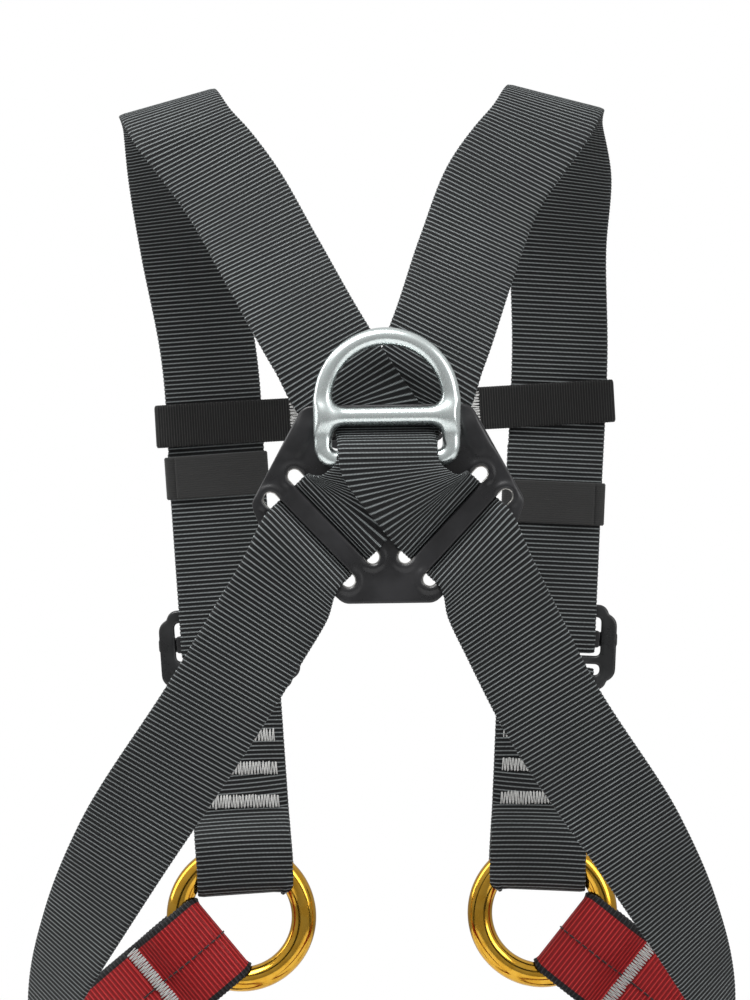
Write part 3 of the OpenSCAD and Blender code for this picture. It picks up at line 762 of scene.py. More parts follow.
@dataclass(frozen=True)
class Thread(Finish):
    """Twisted sewing thread."""

    name: str
    dark: Colour
    lit_colour: Colour
    twist: float = 0.8

    def write(self, recipe: Recipe) -> None:
        """A twist along the thread, with painted shade in the hollows between the plies, broken by a random
        change of tone.
        """
        across, along, _ = recipe.lay()
        slant = recipe.math("ADD", recipe.math("DIVIDE", along, self.twist),
            recipe.math("MULTIPLY", across, 1.4))
        ply = recipe.mapped(recipe.math("SINE", recipe.math("MULTIPLY", slant, 2 * math.pi)),
            -1.0, 1.0, 0.0, 1.0)
        shade = recipe.math("MULTIPLY", ply, recipe.mapped(recipe.noise(500.0), 0.3, 0.7, 0.6, 1.0))
        recipe.bump(ply, 0.08, 0.7)
        # Painted shade: the colour darkens in the twist's hollows and is lit on the plies, with a random
        # change of tone over it.
        recipe.set(Base_Color=recipe.mixed(shade, self.dark, self.lit_colour), Roughness=0.5)
        recipe.set(Sheen_Weight=0.2, Sheen_Roughness=0.4)


@dataclass(frozen=True)
class Metal(Finish):
    """Bare or plated metal with a faint mottle."""

    name: str
    colour: Colour
    mottle: Colour
    grain: float
    smooth: float
    rough: float
    relief: float

    def write(self, recipe: Recipe) -> None:
        """A mottle in colour and gloss, and a fine relief."""
        spots = recipe.mapped(recipe.noise(self.grain, 3.0), 0.35, 0.65, 0.0, 1.0)
        recipe.set(Base_Color=recipe.mixed(spots, self.mottle, self.colour), Metallic=1.0)
        recipe.set(Roughness=recipe.mapped(spots, 0.0, 1.0, self.rough, self.smooth))
        recipe.bump(recipe.noise(self.grain * 1.7, 2.0), self.relief, 0.5)


@dataclass(frozen=True)
class Coated(Finish):
    """Black coated steel, rubbed bare where webbing runs on it."""

    name: str
    coat: Colour = (0.011, 0.011, 0.012)
    bare: Colour = (0.62, 0.61, 0.58)

    def write(self, recipe: Recipe) -> None:
        """Coating with a fine orange peel, and bare metal where the wear is."""
        wear = recipe.read("wear").outputs["Fac"]
        broken = recipe.math("ADD", wear, recipe.math("MULTIPLY", recipe.noise(420.0, 4.0), 0.5))
        bare = recipe.mapped(broken, 0.5, 0.8, 0.0, 1.0)
        cloud = recipe.mapped(recipe.noise(60.0, 5.0), 0.35, 0.7, 0.0, 1.0)
        coat = recipe.mixed(cloud, self.coat, tuple(c * 1.9 for c in self.coat))
        recipe.set(Base_Color=recipe.mixed(bare, coat, self.bare), Metallic=bare)
        recipe.set(Roughness=recipe.mapped(cloud, 0.0, 1.0, 0.27, 0.38))
        recipe.bump(recipe.noise(900.0, 2.0), 0.02, 0.35)


@dataclass(frozen=True)
class Moulded(Finish):
    """Black moulded nylon with a spark-eroded grain."""

    name: str
    colour: Colour = (0.012, 0.012, 0.013)

    def write(self, recipe: Recipe) -> None:
        """A fine even grain."""
        grain = recipe.noise(2200.0, 3.0)
        tone = recipe.mapped(recipe.noise(90.0, 3.0), 0.3, 0.7, 0.0, 1.0)
        recipe.set(Base_Color=recipe.mixed(tone, self.colour, tuple(c * 1.6 for c in self.colour)))
        recipe.set(Roughness=recipe.mapped(grain, 0.2, 0.8, 0.38, 0.55))
        recipe.bump(grain, 0.03, 0.6)


# Each webbing's first colour is its groove colour with painted shade, its second a painted highlight on the
# rib crests, lighter than the cloth itself.
BLACK_WEBBING = Woven("webbing_black", 2.0, 0.62, (0.005, 0.0055, 0.006), (0.38, 0.415, 0.42),
    L.webbing_w / 2,
    roughness=0.6, sheen=0.03)
NARROW_WEBBING = Woven("webbing_narrow", 1.2, 0.5, (0.002, 0.002, 0.002), (0.055, 0.055, 0.053),
    L.chest_w / 2,
    roughness=0.55)
RED_WEBBING = Woven("webbing_red", 2.0, 0.62, (0.24, 0.004, 0.006), (0.95, 0.06, 0.06), L.webbing_w / 2,
    edge_w=2.75, roughness=0.4, sheen=0.04)
ELASTIC = Elastic()
# Each thread's first colour is the painted shade in the twist's hollows, its second the lit colour on the
# plies.
WHITE_THREAD = Thread("thread_white", (0.45, 0.45, 0.44), (0.86, 0.86, 0.84))
BLACK_THREAD = Thread("thread_black", (0.004, 0.004, 0.004), (0.03, 0.03, 0.032))
ZINC = Metal("zinc_steel", (0.90, 0.96, 0.95), (0.80, 0.88, 0.87), 900.0, 0.27, 0.3, 0.0015)
GOLD = Metal("anodised_gold", (0.83, 0.47, 0.06), (0.76, 0.40, 0.04), 240.0, 0.11, 0.17, 0.005)
PLATE_COAT = Coated("plate_black")
BUCKLE_COAT = Coated("buckle_black", (0.013, 0.0135, 0.014))
BAR_COAT = Coated("bar_black", (0.018, 0.018, 0.019))
NYLON = Moulded("moulded_black")


# ---------- pieces ----------


@dataclass
class Piece:
    """One visible piece: its shape, its finish, the body that it rides on and the CAD nodes it stands for."""

    name: str
    shape: Shape
    finish: Finish
    slot: str
    body: str = "root"
    nodes: tuple[str, ...] = ()

    def place(self) -> bpy.types.Object:
        """Makes the Blender object, dresses it and ties it to its body."""
        mesh = bpy.data.meshes.new(self.name)
        points = (self.shape.points - L.origin) * MM
        mesh.from_pydata(points.tolist(), [], self.shape.faces)
        mesh.shade_smooth()
        for name, kind, data in (("lay", "FLOAT_VECTOR", self.shape.lay), ("wear", "FLOAT", self.shape.wear)):
            if data is not None:
                layer = mesh.attributes.new(name, kind, "POINT")
                layer.data.foreach_set("vector" if kind == "FLOAT_VECTOR" else "value",
                    np.asarray(data, np.float32).ravel())
        mesh.materials.append(self.finish.material())
        piece = bpy.data.objects.new(self.name, mesh)
        bpy.context.scene.collection.objects.link(piece)
        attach(piece, self.body)
        if self.nodes:
            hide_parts(*self.nodes)
        LOG.info("%s: %d faces, rides on %s", self.name, len(self.shape.faces), self.body)
        return piece


@dataclass
class Band:
    """A woven strap swept along a route, with real ribs, rounded selvedges and sealed ends."""

    route: Route
    width: float
    thickness: float
    rib: float = 2.0
    relief: float = 0.34
    ribs: Rib = Rib.ACROSS
    skew: float = 0.0
    bow: float = 0.0
    rings: tuple[Wire, ...] = ()
    ring_room: float = 0.3

    def columns(self) -> np.ndarray:
        """Places across the strap, from -1 to 1."""
        if self.ribs is Rib.ALONG:
            return np.linspace(-1, 1, int(round(self.width / self.rib)) * 4 + 1)
        half = np.array([0.0, 0.2, 0.4, 0.6, 0.78, 0.91, 1.0])
        return np.concatenate([-half[:0:-1], half])

    def surface(self, rows: np.ndarray, columns: np.ndarray) -> np.ndarray:
        """The strap's middle surface, off the rings that it is folded over."""
        gone, points, across = self.route.sample()
        reach = columns * (self.width / 2 - 0.5)
        at = np.clip(rows[:, None] + self.skew * reach + self.bow * columns**2, 0, gone[-1])
        middle = np.stack([np.interp(at, gone, points[:, k]) for k in range(3)], -1)
        wide = np.stack([np.interp(at, gone, across[:, k]) for k in range(3)], -1)
        middle = middle + wide * reach[None, :, None]
        for ring in self.rings:
            middle = ring.keep_off(middle, self.thickness / 2 + self.ring_room)
        return middle

    def shape(self) -> Shape:
        """The strap's mesh, its lay across and along the cloth."""
        length = self.route.sample()[0][-1]
        step = self.rib / 4 if self.ribs is Rib.ACROSS else 1.0
        rows = np.linspace(0, length, max(3, int(round(length / step)) + 1))
        columns = self.columns()
        middle = self.surface(rows, columns)
        ahead, aside = np.gradient(middle, axis=0), np.gradient(middle, axis=1)
        up = unit(np.cross(ahead, aside))
        side = unit(aside)
        if self.ribs is Rib.ACROSS:
            crest = np.abs(np.sin(math.pi * rows / self.rib))[:, None] ** 0.8
        else:
            crest = np.abs(np.sin(math.pi * columns * self.width / 2 / self.rib))[None, :] ** 0.8
        ends = np.minimum(rows, length - rows)[:, None]
        full = (self.thickness / 2 - self.relief * (1 - crest)) * (1 - 0.35 * np.exp(-ends / 0.7))
        full = np.broadcast_to(full, middle.shape[:2]).copy()
        full[:, [0, -1]] *= 0.62
        lip = 0.5 - (self.relief * (1 - np.broadcast_to(crest, middle.shape[:2])))[:, [0, -1], None]
        over, under = middle + up * full[..., None], middle - up * full[..., None]
        low = middle[:, :1] - side[:, :1] * lip[:, :1]
        high = middle[:, -1:] + side[:, -1:] * lip[:, 1:]
        ring = np.concatenate([under, high, over[:, ::-1], low], 1)
        reach = columns * (self.width / 2)
        spread = np.concatenate([reach, [self.width / 2], reach[::-1], [-self.width / 2]])
        lay = np.stack(np.broadcast_arrays(spread[None, :], rows[:, None], 0.0), -1).reshape(-1, 3)
        n, m = len(rows), ring.shape[1]
        c = len(columns)
        faces = grid_faces(n, m)
        for start, outward in ((0, False), ((n - 1) * m, True)):
            for j in range(c - 1):
                quad = (start + j, start + j + 1, start + m - 3 - j, start + m - 2 - j)
                faces.append(quad if outward else quad[::-1])
            for trio in ((start + c - 1, start + c, start + c + 1), (start, start + m - 2, start + m - 1)):
                faces.append(trio if outward else trio[::-1])
        return Shape(ring.reshape(-1, 3), faces, lay)


@dataclass
class BarTack:
    """A dense zigzag of thread through the webbing."""

    centre: np.ndarray
    run: np.ndarray
    rise: np.ndarray
    length: float
    height: float = 5.6
    stroke: float = 0.74
    thread_r: float = 0.27
    seed: int = 0

    def shape(self) -> Shape:
        """The zigzag, each stroke standing proud and dipping into the cloth at its ends."""
        draw = np.random.default_rng(self.seed)
        out = np.cross(self.run, self.rise)
        count = int(self.length / self.stroke)
        path = []
        for k in range(count):
            a = -self.length / 2 + k * self.stroke + draw.normal(0, 0.07)
            b = a + self.stroke * (0.55 + draw.normal(0, 0.12))
            low, high = -self.height / 2 + draw.normal(0, 0.22), self.height / 2 + draw.normal(0, 0.22)
            first, last = (low, high) if k % 2 == 0 else (high, low)
            lift = self.thread_r * (1.15 + 0.3 * draw.random())
            for share, rise in ((0.0, -0.5), (0.1, 0.6), (0.5, 1.0), (0.9, 0.6), (1.0, -0.5)):
                path.append(self.centre + self.run * (a + (b - a) * share)
                    + self.rise * (first + (last - first) * share) + out * lift * rise)
        return tube(np.array(path), self.thread_r, out)


def stitches(line: np.ndarray, up: np.ndarray, length: float, pitch: float, radius: float) -> Shape:
    """A row of running stitches.

    Args:
        line: points along the row, on the cloth's surface.
        up: direction away from the cloth at each point.
        length: length of a stitch that shows.
        pitch: distance between the starts of two stitches.
        radius: half the thread's thickness.

    Returns:
        The stitches, each dipping into the cloth at its ends.
    """
    gone = np.concatenate([[0.0], np.cumsum(np.linalg.norm(np.diff(line, axis=0), axis=1))])
    made = []
    for start in np.arange(pitch / 2, gone[-1] - length, pitch):
        at = start + length * np.array([0.0, 0.12, 0.5, 0.88, 1.0])
        here = np.stack([np.interp(at, gone, line[:, k]) for k in range(3)], -1)
        over = unit(np.stack([np.interp(at, gone, up[:, k]) for k in range(3)], -1))
        here = here + over * radius * np.array([-0.8, 0.35, 0.6, 0.35, -0.8])[:, None]
        made.append(tube(here, radius, over[2], 5))
    return Shape.joined(made)


# ---------- dorsal plate and ring ----------


@dataclass
class DorsalRing:
    """The forged ring on the back, with a bow, a cross bar and a hinge bar under the webbing."""

    half: float = 3.85
    round_r: float = 3.5
    corner_r: float = 6.0
    fillet: float = 6.5
    voxel: float = 0.42

    def distance(self, p: np.ndarray) -> np.ndarray:
        """Distance from the ring's surface, negative inside."""
        x, y, z = p[:, 0], p[:, 1] - L.dorsal_y, p[:, 2]
        bow = np.hypot(x, z - L.bow_z) - L.dorsal_leg_x
        qx = np.abs(x) - (L.dorsal_leg_x - self.corner_r)
        qz = L.hinge_z + self.corner_r - z
        outside = np.hypot(np.maximum(qx, 0), np.maximum(qz, 0))
        foot = outside + np.minimum(np.maximum(qx, qz), 0) - self.corner_r
        loop = slab(np.abs(np.where(z > L.bow_z, bow, foot)) - self.half, y, self.half, self.round_r)
        bar = slab(np.abs(z - L.cross_bar_z) - self.half, y, self.half, self.round_r)
        return blend_min(loop, np.maximum(bar, np.abs(x) - L.dorsal_leg_x), self.fillet)

    def build(self) -> None:
        """Makes the ring."""
        shape = forged("dorsal_ring", self.distance, self.voxel)
        Piece("dorsal_d_ring", shape, ZINC, "zinc_steel", "dorsal_ring", ("dorsal_ring",)).place()


@dataclass
class DorsalPlate:
    """The pressed plate that holds the crossing straps, with lips round its slots."""

    corner_r: float = 6.5
    edge_r: float = 0.85
    lip_h: float = 1.0
    lip_w: float = 1.5
    lip_at: float = 1.7
    hump: tuple[float, float] = (38.5, 27.0)
    hump_lean: float = -62.0
    hump_h: float = 1.4
    hump_half: tuple[float, float] = (9.5, 4.6)
    window_z: tuple[float, float] = (21.0, 34.4)
    window_inset: float = 1.2
    window_r: float = 4.0
    voxel: float = 0.55
    outline: tuple[tuple[float, float], ...] = field(default=())

    def __post_init__(self) -> None:
        """Works out the outline's corners."""
        up, down = L.plate_up - 1, -L.plate_down - 1
        right = [(L.plate_bottom_half, down), (L.plate_half_w - 3, -14.0), (L.plate_half_w + 2, -1.0),
            (L.plate_top_half, up)]
        self.outline = tuple(right + [(-x, z) for x, z in reversed(right)])

    def slots(self, x: np.ndarray, z: np.ndarray) -> tuple[np.ndarray, np.ndarray]:
        """Distance from the nearest strap slot's edge, and how far along that slot a point is."""
        nearest, along = np.full(x.shape, 1e9), np.zeros(x.shape)
        for row in (0, 1):
            c = vec(L.slot_x, 0, L.slot_z) + L.slot_out * L.slot_pitch * row
            u = (np.abs(x) - c[0]) * L.slot_dir[0] + (z - c[2]) * L.slot_dir[2]
            v = (np.abs(x) - c[0]) * L.slot_out[0] + (z - c[2]) * L.slot_out[2]
            d = long_slot(u, v, (L.webbing_w + L.slot_spare + L.slot_w) / 2, L.slot_w / 2)
            along = np.where(d < nearest, u, along)
            nearest = np.minimum(nearest, d)
        return nearest, along

    def window(self, x: np.ndarray, z: np.ndarray) -> np.ndarray:
        """Distance from the top window's edge, negative in the window, which is narrower than the CAD's."""
        low, high = self.window_z
        half_w = L.dorsal_inner / 2 - self.window_inset
        return corner_box(x, z - (low + high) / 2, half_w, (high - low) / 2, self.window_r)

    def distance(self, p: np.ndarray) -> np.ndarray:
        """Distance from the plate's surface, negative inside."""
        x, y, z = p[:, 0], p[:, 1], p[:, 2]
        slot, along = self.slots(x, z)
        flat = np.maximum(convex_outline(x, z, np.array(self.outline), self.corner_r), -slot)
        flat = np.maximum(flat, -self.window(x, z))
        at_end = np.clip((np.abs(along) - L.webbing_w / 2 + 1) / 3, 0, 1)
        lip = self.lip_h * at_end * np.exp(-((slot - self.lip_at) / self.lip_w) ** 2)
        lean = math.radians(self.hump_lean)
        hx, hz = np.abs(x) - self.hump[0], z - self.hump[1]
        u = hx * math.cos(lean) + hz * math.sin(lean)
        v = hz * math.cos(lean) - hx * math.sin(lean)
        hump = self.hump_h * np.exp(-((u / self.hump_half[0]) ** 4) - (v / self.hump_half[1]) ** 4)
        proud = -(lip + hump)
        return slab(flat, y - proud * 0.5, L.plate_t / 2 + np.abs(proud) * 0.5, self.edge_r)

    def wear(self, p: np.ndarray) -> np.ndarray:
        """Bare metal on the inner edges of the slots, most at their ends."""
        slot, along = self.slots(p[:, 0], p[:, 2])
        at_end = np.clip((np.abs(along) - L.webbing_w / 2 + 2) / 2, 0.15, 1)
        return np.clip(1 - np.maximum(slot, 0) / 0.75, 0, 1) * at_end

    def build(self) -> None:
        """Makes the plate."""
        shape = forged("dorsal_plate", self.distance, self.voxel, self.wear)
        Piece("dorsal_plate_pressing", shape, PLATE_COAT, "plate_black", nodes=("dorsal_plate",)).place()


# ---------- main webbing ----------


@dataclass
class MainStrap:
    """One long strap: tail, adjuster, shoulder, back, dorsal plate and the opposite hip."""

    side: Side
    wrap_steps: tuple[int, ...] = tuple(range(0, 181, 30))

    @property
    def lift(self) -> float:
        """The left strap lies on the right one where they cross."""
        return L.webbing_t + L.layer_gap if self.side is Side.LEFT else 0.0

    def adjuster_turn(self) -> list[Station]:
        """Stations round the adjuster's floating bar."""
        base = vec(L.front_x(L.adjuster_z), L.front_y, L.adjuster_z)
        return [(in_frame(base, -L.front_lean, (0, L.layer_y * math.cos(math.radians(a)),
            0.8 - L.layer_y * math.sin(math.radians(a)))), L.front_across) for a in self.wrap_steps]

    def weave(self, seat: np.ndarray) -> list[Station]:
        """Stations in through the upper slot, behind the bar and out through the lower slot."""
        d = L.plate_t / 2 + L.webbing_t / 2 + 0.6
        places = [(-3.6, -d), (-1, -1.15), (1, 1.15), (3.6, d), (L.slot_pitch / 2, d + 0.1),
            (L.slot_pitch - 3.6, d), (L.slot_pitch - 1, 1.15), (L.slot_pitch + 1, -1.15),
            (L.slot_pitch + 3.8, -d)]
        return [(seat + L.slot_out * a + vec(0, b, 0), L.slot_dir) for a, b in places]

    def route(self) -> Route:
        """The strap's route, its own shoulder at -X."""
        lift, front = self.lift, L.front_across
        bar_front = L.dorsal_y - L.dorsal_wire / 2 - L.webbing_t / 2 - 0.5
        gathered = vec((L.dorsal_inner - 4.2) / L.webbing_w, 0, 0)
        seat = vec(L.slot_x - 0.8, 0, L.slot_z - 0.9)

        def over(x: float, y: float, z: float, lean: float, across: np.ndarray) -> Station:
            """A station kept clear of the strap below."""
            a = math.radians(lean)
            return vec(x, y - lift * math.cos(a), z + lift * math.sin(a)), across

        chest = [(vec(L.front_x(z), y, z), front) for z, y in ((L.tail_top_z, L.tail_y), (-22, L.tail_y),
            (-34, L.tail_y + 0.4), (-46, L.front_y + L.layer_y), (-54, L.front_y + L.layer_y))]
        rise = [(vec(L.front_x(z), L.main_y, z), front) for z in (-52, 0, L.front_high_z)]
        shoulder = [
            (vec(-0.2 - L.shoulder_x, L.front_y - 16, L.shoulder_z - 62), unit((1, 0, 0.08))),
            (vec(-3.2 - L.shoulder_x, L.front_y - 44, L.shoulder_z - 26), unit((1, 0, 0.16))),
            (vec(-1.4 - L.shoulder_x, (L.front_y + L.shoulder_y) / 2 - 16, L.shoulder_z - 4),
            unit((1, 0, 0.24))),
            (vec(0.4 - L.shoulder_x, L.shoulder_y, L.shoulder_z - 1), unit((1, 0, 0.3))),
            (vec(7 - L.shoulder_x, L.shoulder_y - 12, L.shoulder_z - 12), unit((1, 0.03, 0.4))),
            (vec(15 - L.shoulder_x, L.shoulder_y - 17, L.shoulder_z - 22), unit((0.92, 0.02, 0.46))),
            (vec(26.5 - L.shoulder_x, L.shoulder_y - 25, L.shoulder_z - 38), unit((0.88, 0, 0.46))),
            (vec(42.9 - L.shoulder_x, 29 - lift, L.shoulder_z - 72), unit((0.91, 0.02, 0.42)))]
        crossing = [
            over(-25.5, 11 - lift / 2, 67, 0, unit((0.88, 0, 0.46))),
            over(-14.6, 7.4 - lift / 2, 46, 0, unit((0.86, 0, 0.46))),
            over(-7, 6.9 - lift / 2, 39, 4, vec(0.95, 0, 0.12)),
            over(-3.4, 6.2 - lift / 2, 35, 12, gathered),
            over(-1.8, 2.4, 30.8, 45, gathered),
            over(-0.9, -1.5, 27.6, 45, gathered),
            over(-0.4, L.dorsal_y + 0.5, 25.2, 42, gathered),
            over(0, bar_front + 1.9, L.hinge_z + 5, 35, gathered),
            over(0.3, bar_front, L.hinge_z + 1.6, 8, gathered),
            over(1, bar_front - 0.1 * lift, L.hinge_z - 2.7, 0, vec(0.96, 0, 0.03)),
            over(3.8, bar_front + 0.6 - 0.4 * lift, 10, 0, vec(0.97, -0.01 * lift, 0.12)),
            over(8.2, -9.2 - 0.9 * lift, 5.2, 0, vec(0.93, -0.03 * lift, 0.24)),
            (seat - L.slot_out * 11.5 + vec(0, -5.3 - 2.9 * lift, 0), vec(0.84, -0.065 * lift, 0.48))]
        back = [
            (vec(L.slot_x + 20.4, -2.6, -38), unit((0.78, 0, 0.58))),
            (vec(L.slot_x + 30.2, 1.5, -56), unit((0.83, 0.04, 0.54))),
            (vec(L.slot_x + 47, 8, -86), unit((0.86, 0.08, 0.5))),
            (vec(L.hip_x - 41.4, 30, -152), unit((0.8, 0.28, 0.5))),
            (vec(L.hip_x - 20.5, 52, -190), unit((0.62, 0.58, 0.46))),
            (vec(L.hip_x - 5, 76, -226), unit((0.38, 0.86, 0.3)))]
        hip = [(vec(L.hip_x + L.hip_lap + x, y, z), vec(0, 1, 0)) for x, y, z in (
            (-0.6, 89, -254), (0, 92, -268), (0, 94.5, -283), (0, 98, -306))]
        front = chest + self.adjuster_turn() + rise + shoulder
        return Route(front + crossing + self.weave(seat) + back + hip)

    def build(self) -> None:
        """Makes the strap."""
        band = Band(self.route().worn(-self.side.value), L.webbing_w, L.webbing_t)
        Piece(f"{self.side.word}_main_strap", band.shape(), BLACK_WEBBING, "webbing_black",
            nodes=(f"{self.side.word}_main_webbing",)).place()


# ---------- front straps ----------


@dataclass
class FrontStrap:
    """The short loop between an adjuster and a hip ring, with its bar tacks."""

    side: Side
    wrap_at: float = 18.4
    tacks: tuple[float, ...] = (-109.0, -124.5, -140.0)

    def route(self) -> Route:
        """Through the adjuster's lower slot and round the hip ring, on the left side."""
        rail_z = L.adjuster_z - L.adjuster_h / 2 + 7
        wrap_z = -L.hip_ring_drop + self.wrap_at
        half = L.half_layer

        def at(z: float, d: float) -> Station:
            """A station of the strap at a height and a depth from its middle."""
            return vec(L.front_x(z), L.front_y + d, z), L.front_across

        turn = [at(rail_z - 0.4 + L.layer_y * math.sin(math.radians(a)),
            L.layer_y * math.cos(math.radians(a)))
            for a in range(0, 181, 30)]
        fold = [(vec(L.front_x(wrap_z), L.front_y + L.wrap_r * math.cos(math.radians(a)),
            wrap_z + L.wrap_r * math.sin(math.radians(a))), L.front_across) for a in range(180, 361, 30)]
        return Route([at(-111.7, half), at(-103, half), at(rail_z - 6, L.layer_y)] + turn
            + [at(rail_z - 6, -L.layer_y), at(-103, -half), at(-112, -half), at(-146, -half),
                at(-155, -L.wrap_r)] + fold + [at(-155, L.wrap_r), at(-146, half), at(-112.3, half)])

    def build(self) -> None:
        """Makes the strap and its bar tacks."""
        word, factor = self.side.word, -self.side.value
        ring = Wire((-L.hip_ring_x * factor, L.front_y, -L.hip_ring_drop), L.ring_r, L.hip_ring_wire / 2)
        band = Band(self.route().mirrored(factor), L.webbing_w, L.webbing_t, skew=0.02, bow=0.5,
            rings=(ring,))
        Piece(f"{word}_front_loop", band.shape(), BLACK_WEBBING, "webbing_black",
            nodes=(f"{word}_front_strap",)).place()
        made = []
        for n, z in enumerate(self.tacks):
            for face in (-1, 1):
                centre = vec(factor * L.front_x(z),
                    L.front_y + face * (L.half_layer + L.webbing_t / 2 - 0.1), z)
                made.append(BarTack(centre, vec(-face, 0, 0), vec(0, 0, 1), L.webbing_w - 8,
                    seed=10 * n + face + self.side.value + 100).shape())
        Piece(f"{word}_front_tack_thread", Shape.joined(made), WHITE_THREAD, "thread_white",
            nodes=(f"{word}_front_bar_tacks",)).place()


# ---------- adjusters and leg buckles ----------


@dataclass
class Adjuster:
    """A slotted steel frame with a floating bar, on a front strap or a leg loop."""

    frame_node: str
    bar_node: str
    bar_body: str
    base: np.ndarray
    turn: float
    factor: float
    edge_r: float = 0.9

    def local(self, p: np.ndarray) -> np.ndarray:
        """Points in the frame's own coordinates."""
        return ((p * np.array([self.factor, 1.0, 1.0])) - self.base) @ turned(self.turn)

    def frame_distance(self, p: np.ndarray) -> np.ndarray:
        """Distance from the frame's surface, negative inside."""
        q = self.local(p)
        x, y, z = q[:, 0], q[:, 1], q[:, 2]
        window_w = L.webbing_w + 5
        outer = window_w + 2 * L.adjuster_rail
        body = np.minimum(corner_box(x, z, outer / 2, L.adjuster_h / 2 - 4, 6.0),
            corner_box(x, z, outer / 2 - 4, L.adjuster_h / 2, 5.0))
        flat = body
        for low, high in ((-4.0, L.adjuster_h / 2 - 6), (-L.adjuster_h / 2 + 7, -8.0)):
            flat = np.maximum(flat, -corner_box(x, z - (low + high) / 2, window_w / 2, (high - low) / 2, 2.0))
        return slab(flat, y, L.adjuster_t / 2, self.edge_r)

    def build(self) -> None:
        """Makes the frame and its bar."""
        frame_shape = forged(self.frame_node, self.frame_distance, 0.6)
        Piece(self.frame_node.replace("_frame", "_plate"), frame_shape, BUCKLE_COAT, "buckle_black",
            nodes=(self.frame_node,)).place()
        Piece(self.bar_node.replace("_bar", "_slide_bar"), moulded(self.bar_node, 0.45, 3), BAR_COAT,
            "bar_black",
            self.bar_body, (self.bar_node,)).place()


# ---------- elastic keepers ----------


@dataclass
class Keeper:
    """An elastic band round a strap and its tail, its ends lapped and sewn."""

    name: str
    body: str
    node: str
    base: np.ndarray
    turn: float
    low: float
    high: float
    factor: float
    seam_x: float = 4.0

    def build(self) -> None:
        """Makes the band."""
        half_t = L.elastic_t / 2 - 0.08
        w = L.webbing_w / 2 + L.run_gap + L.elastic_t / 2
        low, high = self.low - L.run_gap - L.elastic_t / 2, self.high + L.run_gap + L.elastic_t / 2
        r = 1.4

        def loop(out: float) -> list[tuple[float, float]]:
            """Points round the band, from the seam round the outer edge and back to the seam."""
            pts = [(self.seam_x, low - out), (-w + r + 2, low - out)]
            for cx, cy, start in ((-w + r, low + r, 270), (-w + r, high - r, 180), (w - r, high - r, 90),
                    (w - r, low + r, 0)):
                if start == 180:
                    pts.append((cx - r - out, (low + high) / 2))
                if start == 0:
                    pts.append((cx + r + out, (low + high) / 2))
                for a in (0, 45, 90):
                    t = math.radians(start - a)
                    pts.append((cx + (r + out) * math.cos(t), cy + (r + out) * math.sin(t)))
            return pts

        first = loop(0.0) + [(self.seam_x + 12, low), (self.seam_x + 1, low)]
        lap = [(self.seam_x - 4.5, low - 0.9), (self.seam_x - 7.0, low - L.elastic_t),
            (-w + r + 3, low - L.elastic_t)]
        path = [p for p in first] + lap
        place = [(in_frame(self.base, self.turn, (x, y, 0)), turned(self.turn) @ vec(0, 0, 1))
            for x, y in path]
        band = Band(Route(place).mirrored(self.factor), L.keeper_h, half_t * 2, rib=1.1, relief=0.13,
            ribs=Rib.ALONG)
        Piece(self.name, band.shape(), ELASTIC, "elastic_black", self.body, (self.node,)).place()


# ---------- hip rings ----------


@dataclass
class HipRing:
    """A gold anodised ring at the hip."""

    side: Side
    around: int = 192
    sides: int = 48

    def build(self) -> None:
        """Makes the ring."""
        turn = np.arange(self.around) * 2 * math.pi / self.around
        wire = np.arange(self.sides) * 2 * math.pi / self.sides
        reach = L.ring_r + L.hip_ring_wire / 2 * np.cos(wire)[None, :]
        points = np.stack(np.broadcast_arrays(reach * np.cos(turn)[:, None],
            L.hip_ring_wire / 2 * np.sin(wire)[None, :], reach * np.sin(turn)[:, None]), -1).reshape(-1, 3)
        points = points + vec(self.side.value * L.hip_ring_x, L.front_y, -L.hip_ring_drop)
        faces = grid_faces(self.around, self.sides, wrap=True)
        word = self.side.word
        Piece(f"{word}_gold_ring", Shape(points, [f[::-1] for f in faces]), GOLD, "anodised_gold",
            f"{word}_hip_ring", (f"{word}_hip_ring",)).place()


# ---------- chest strap ----------


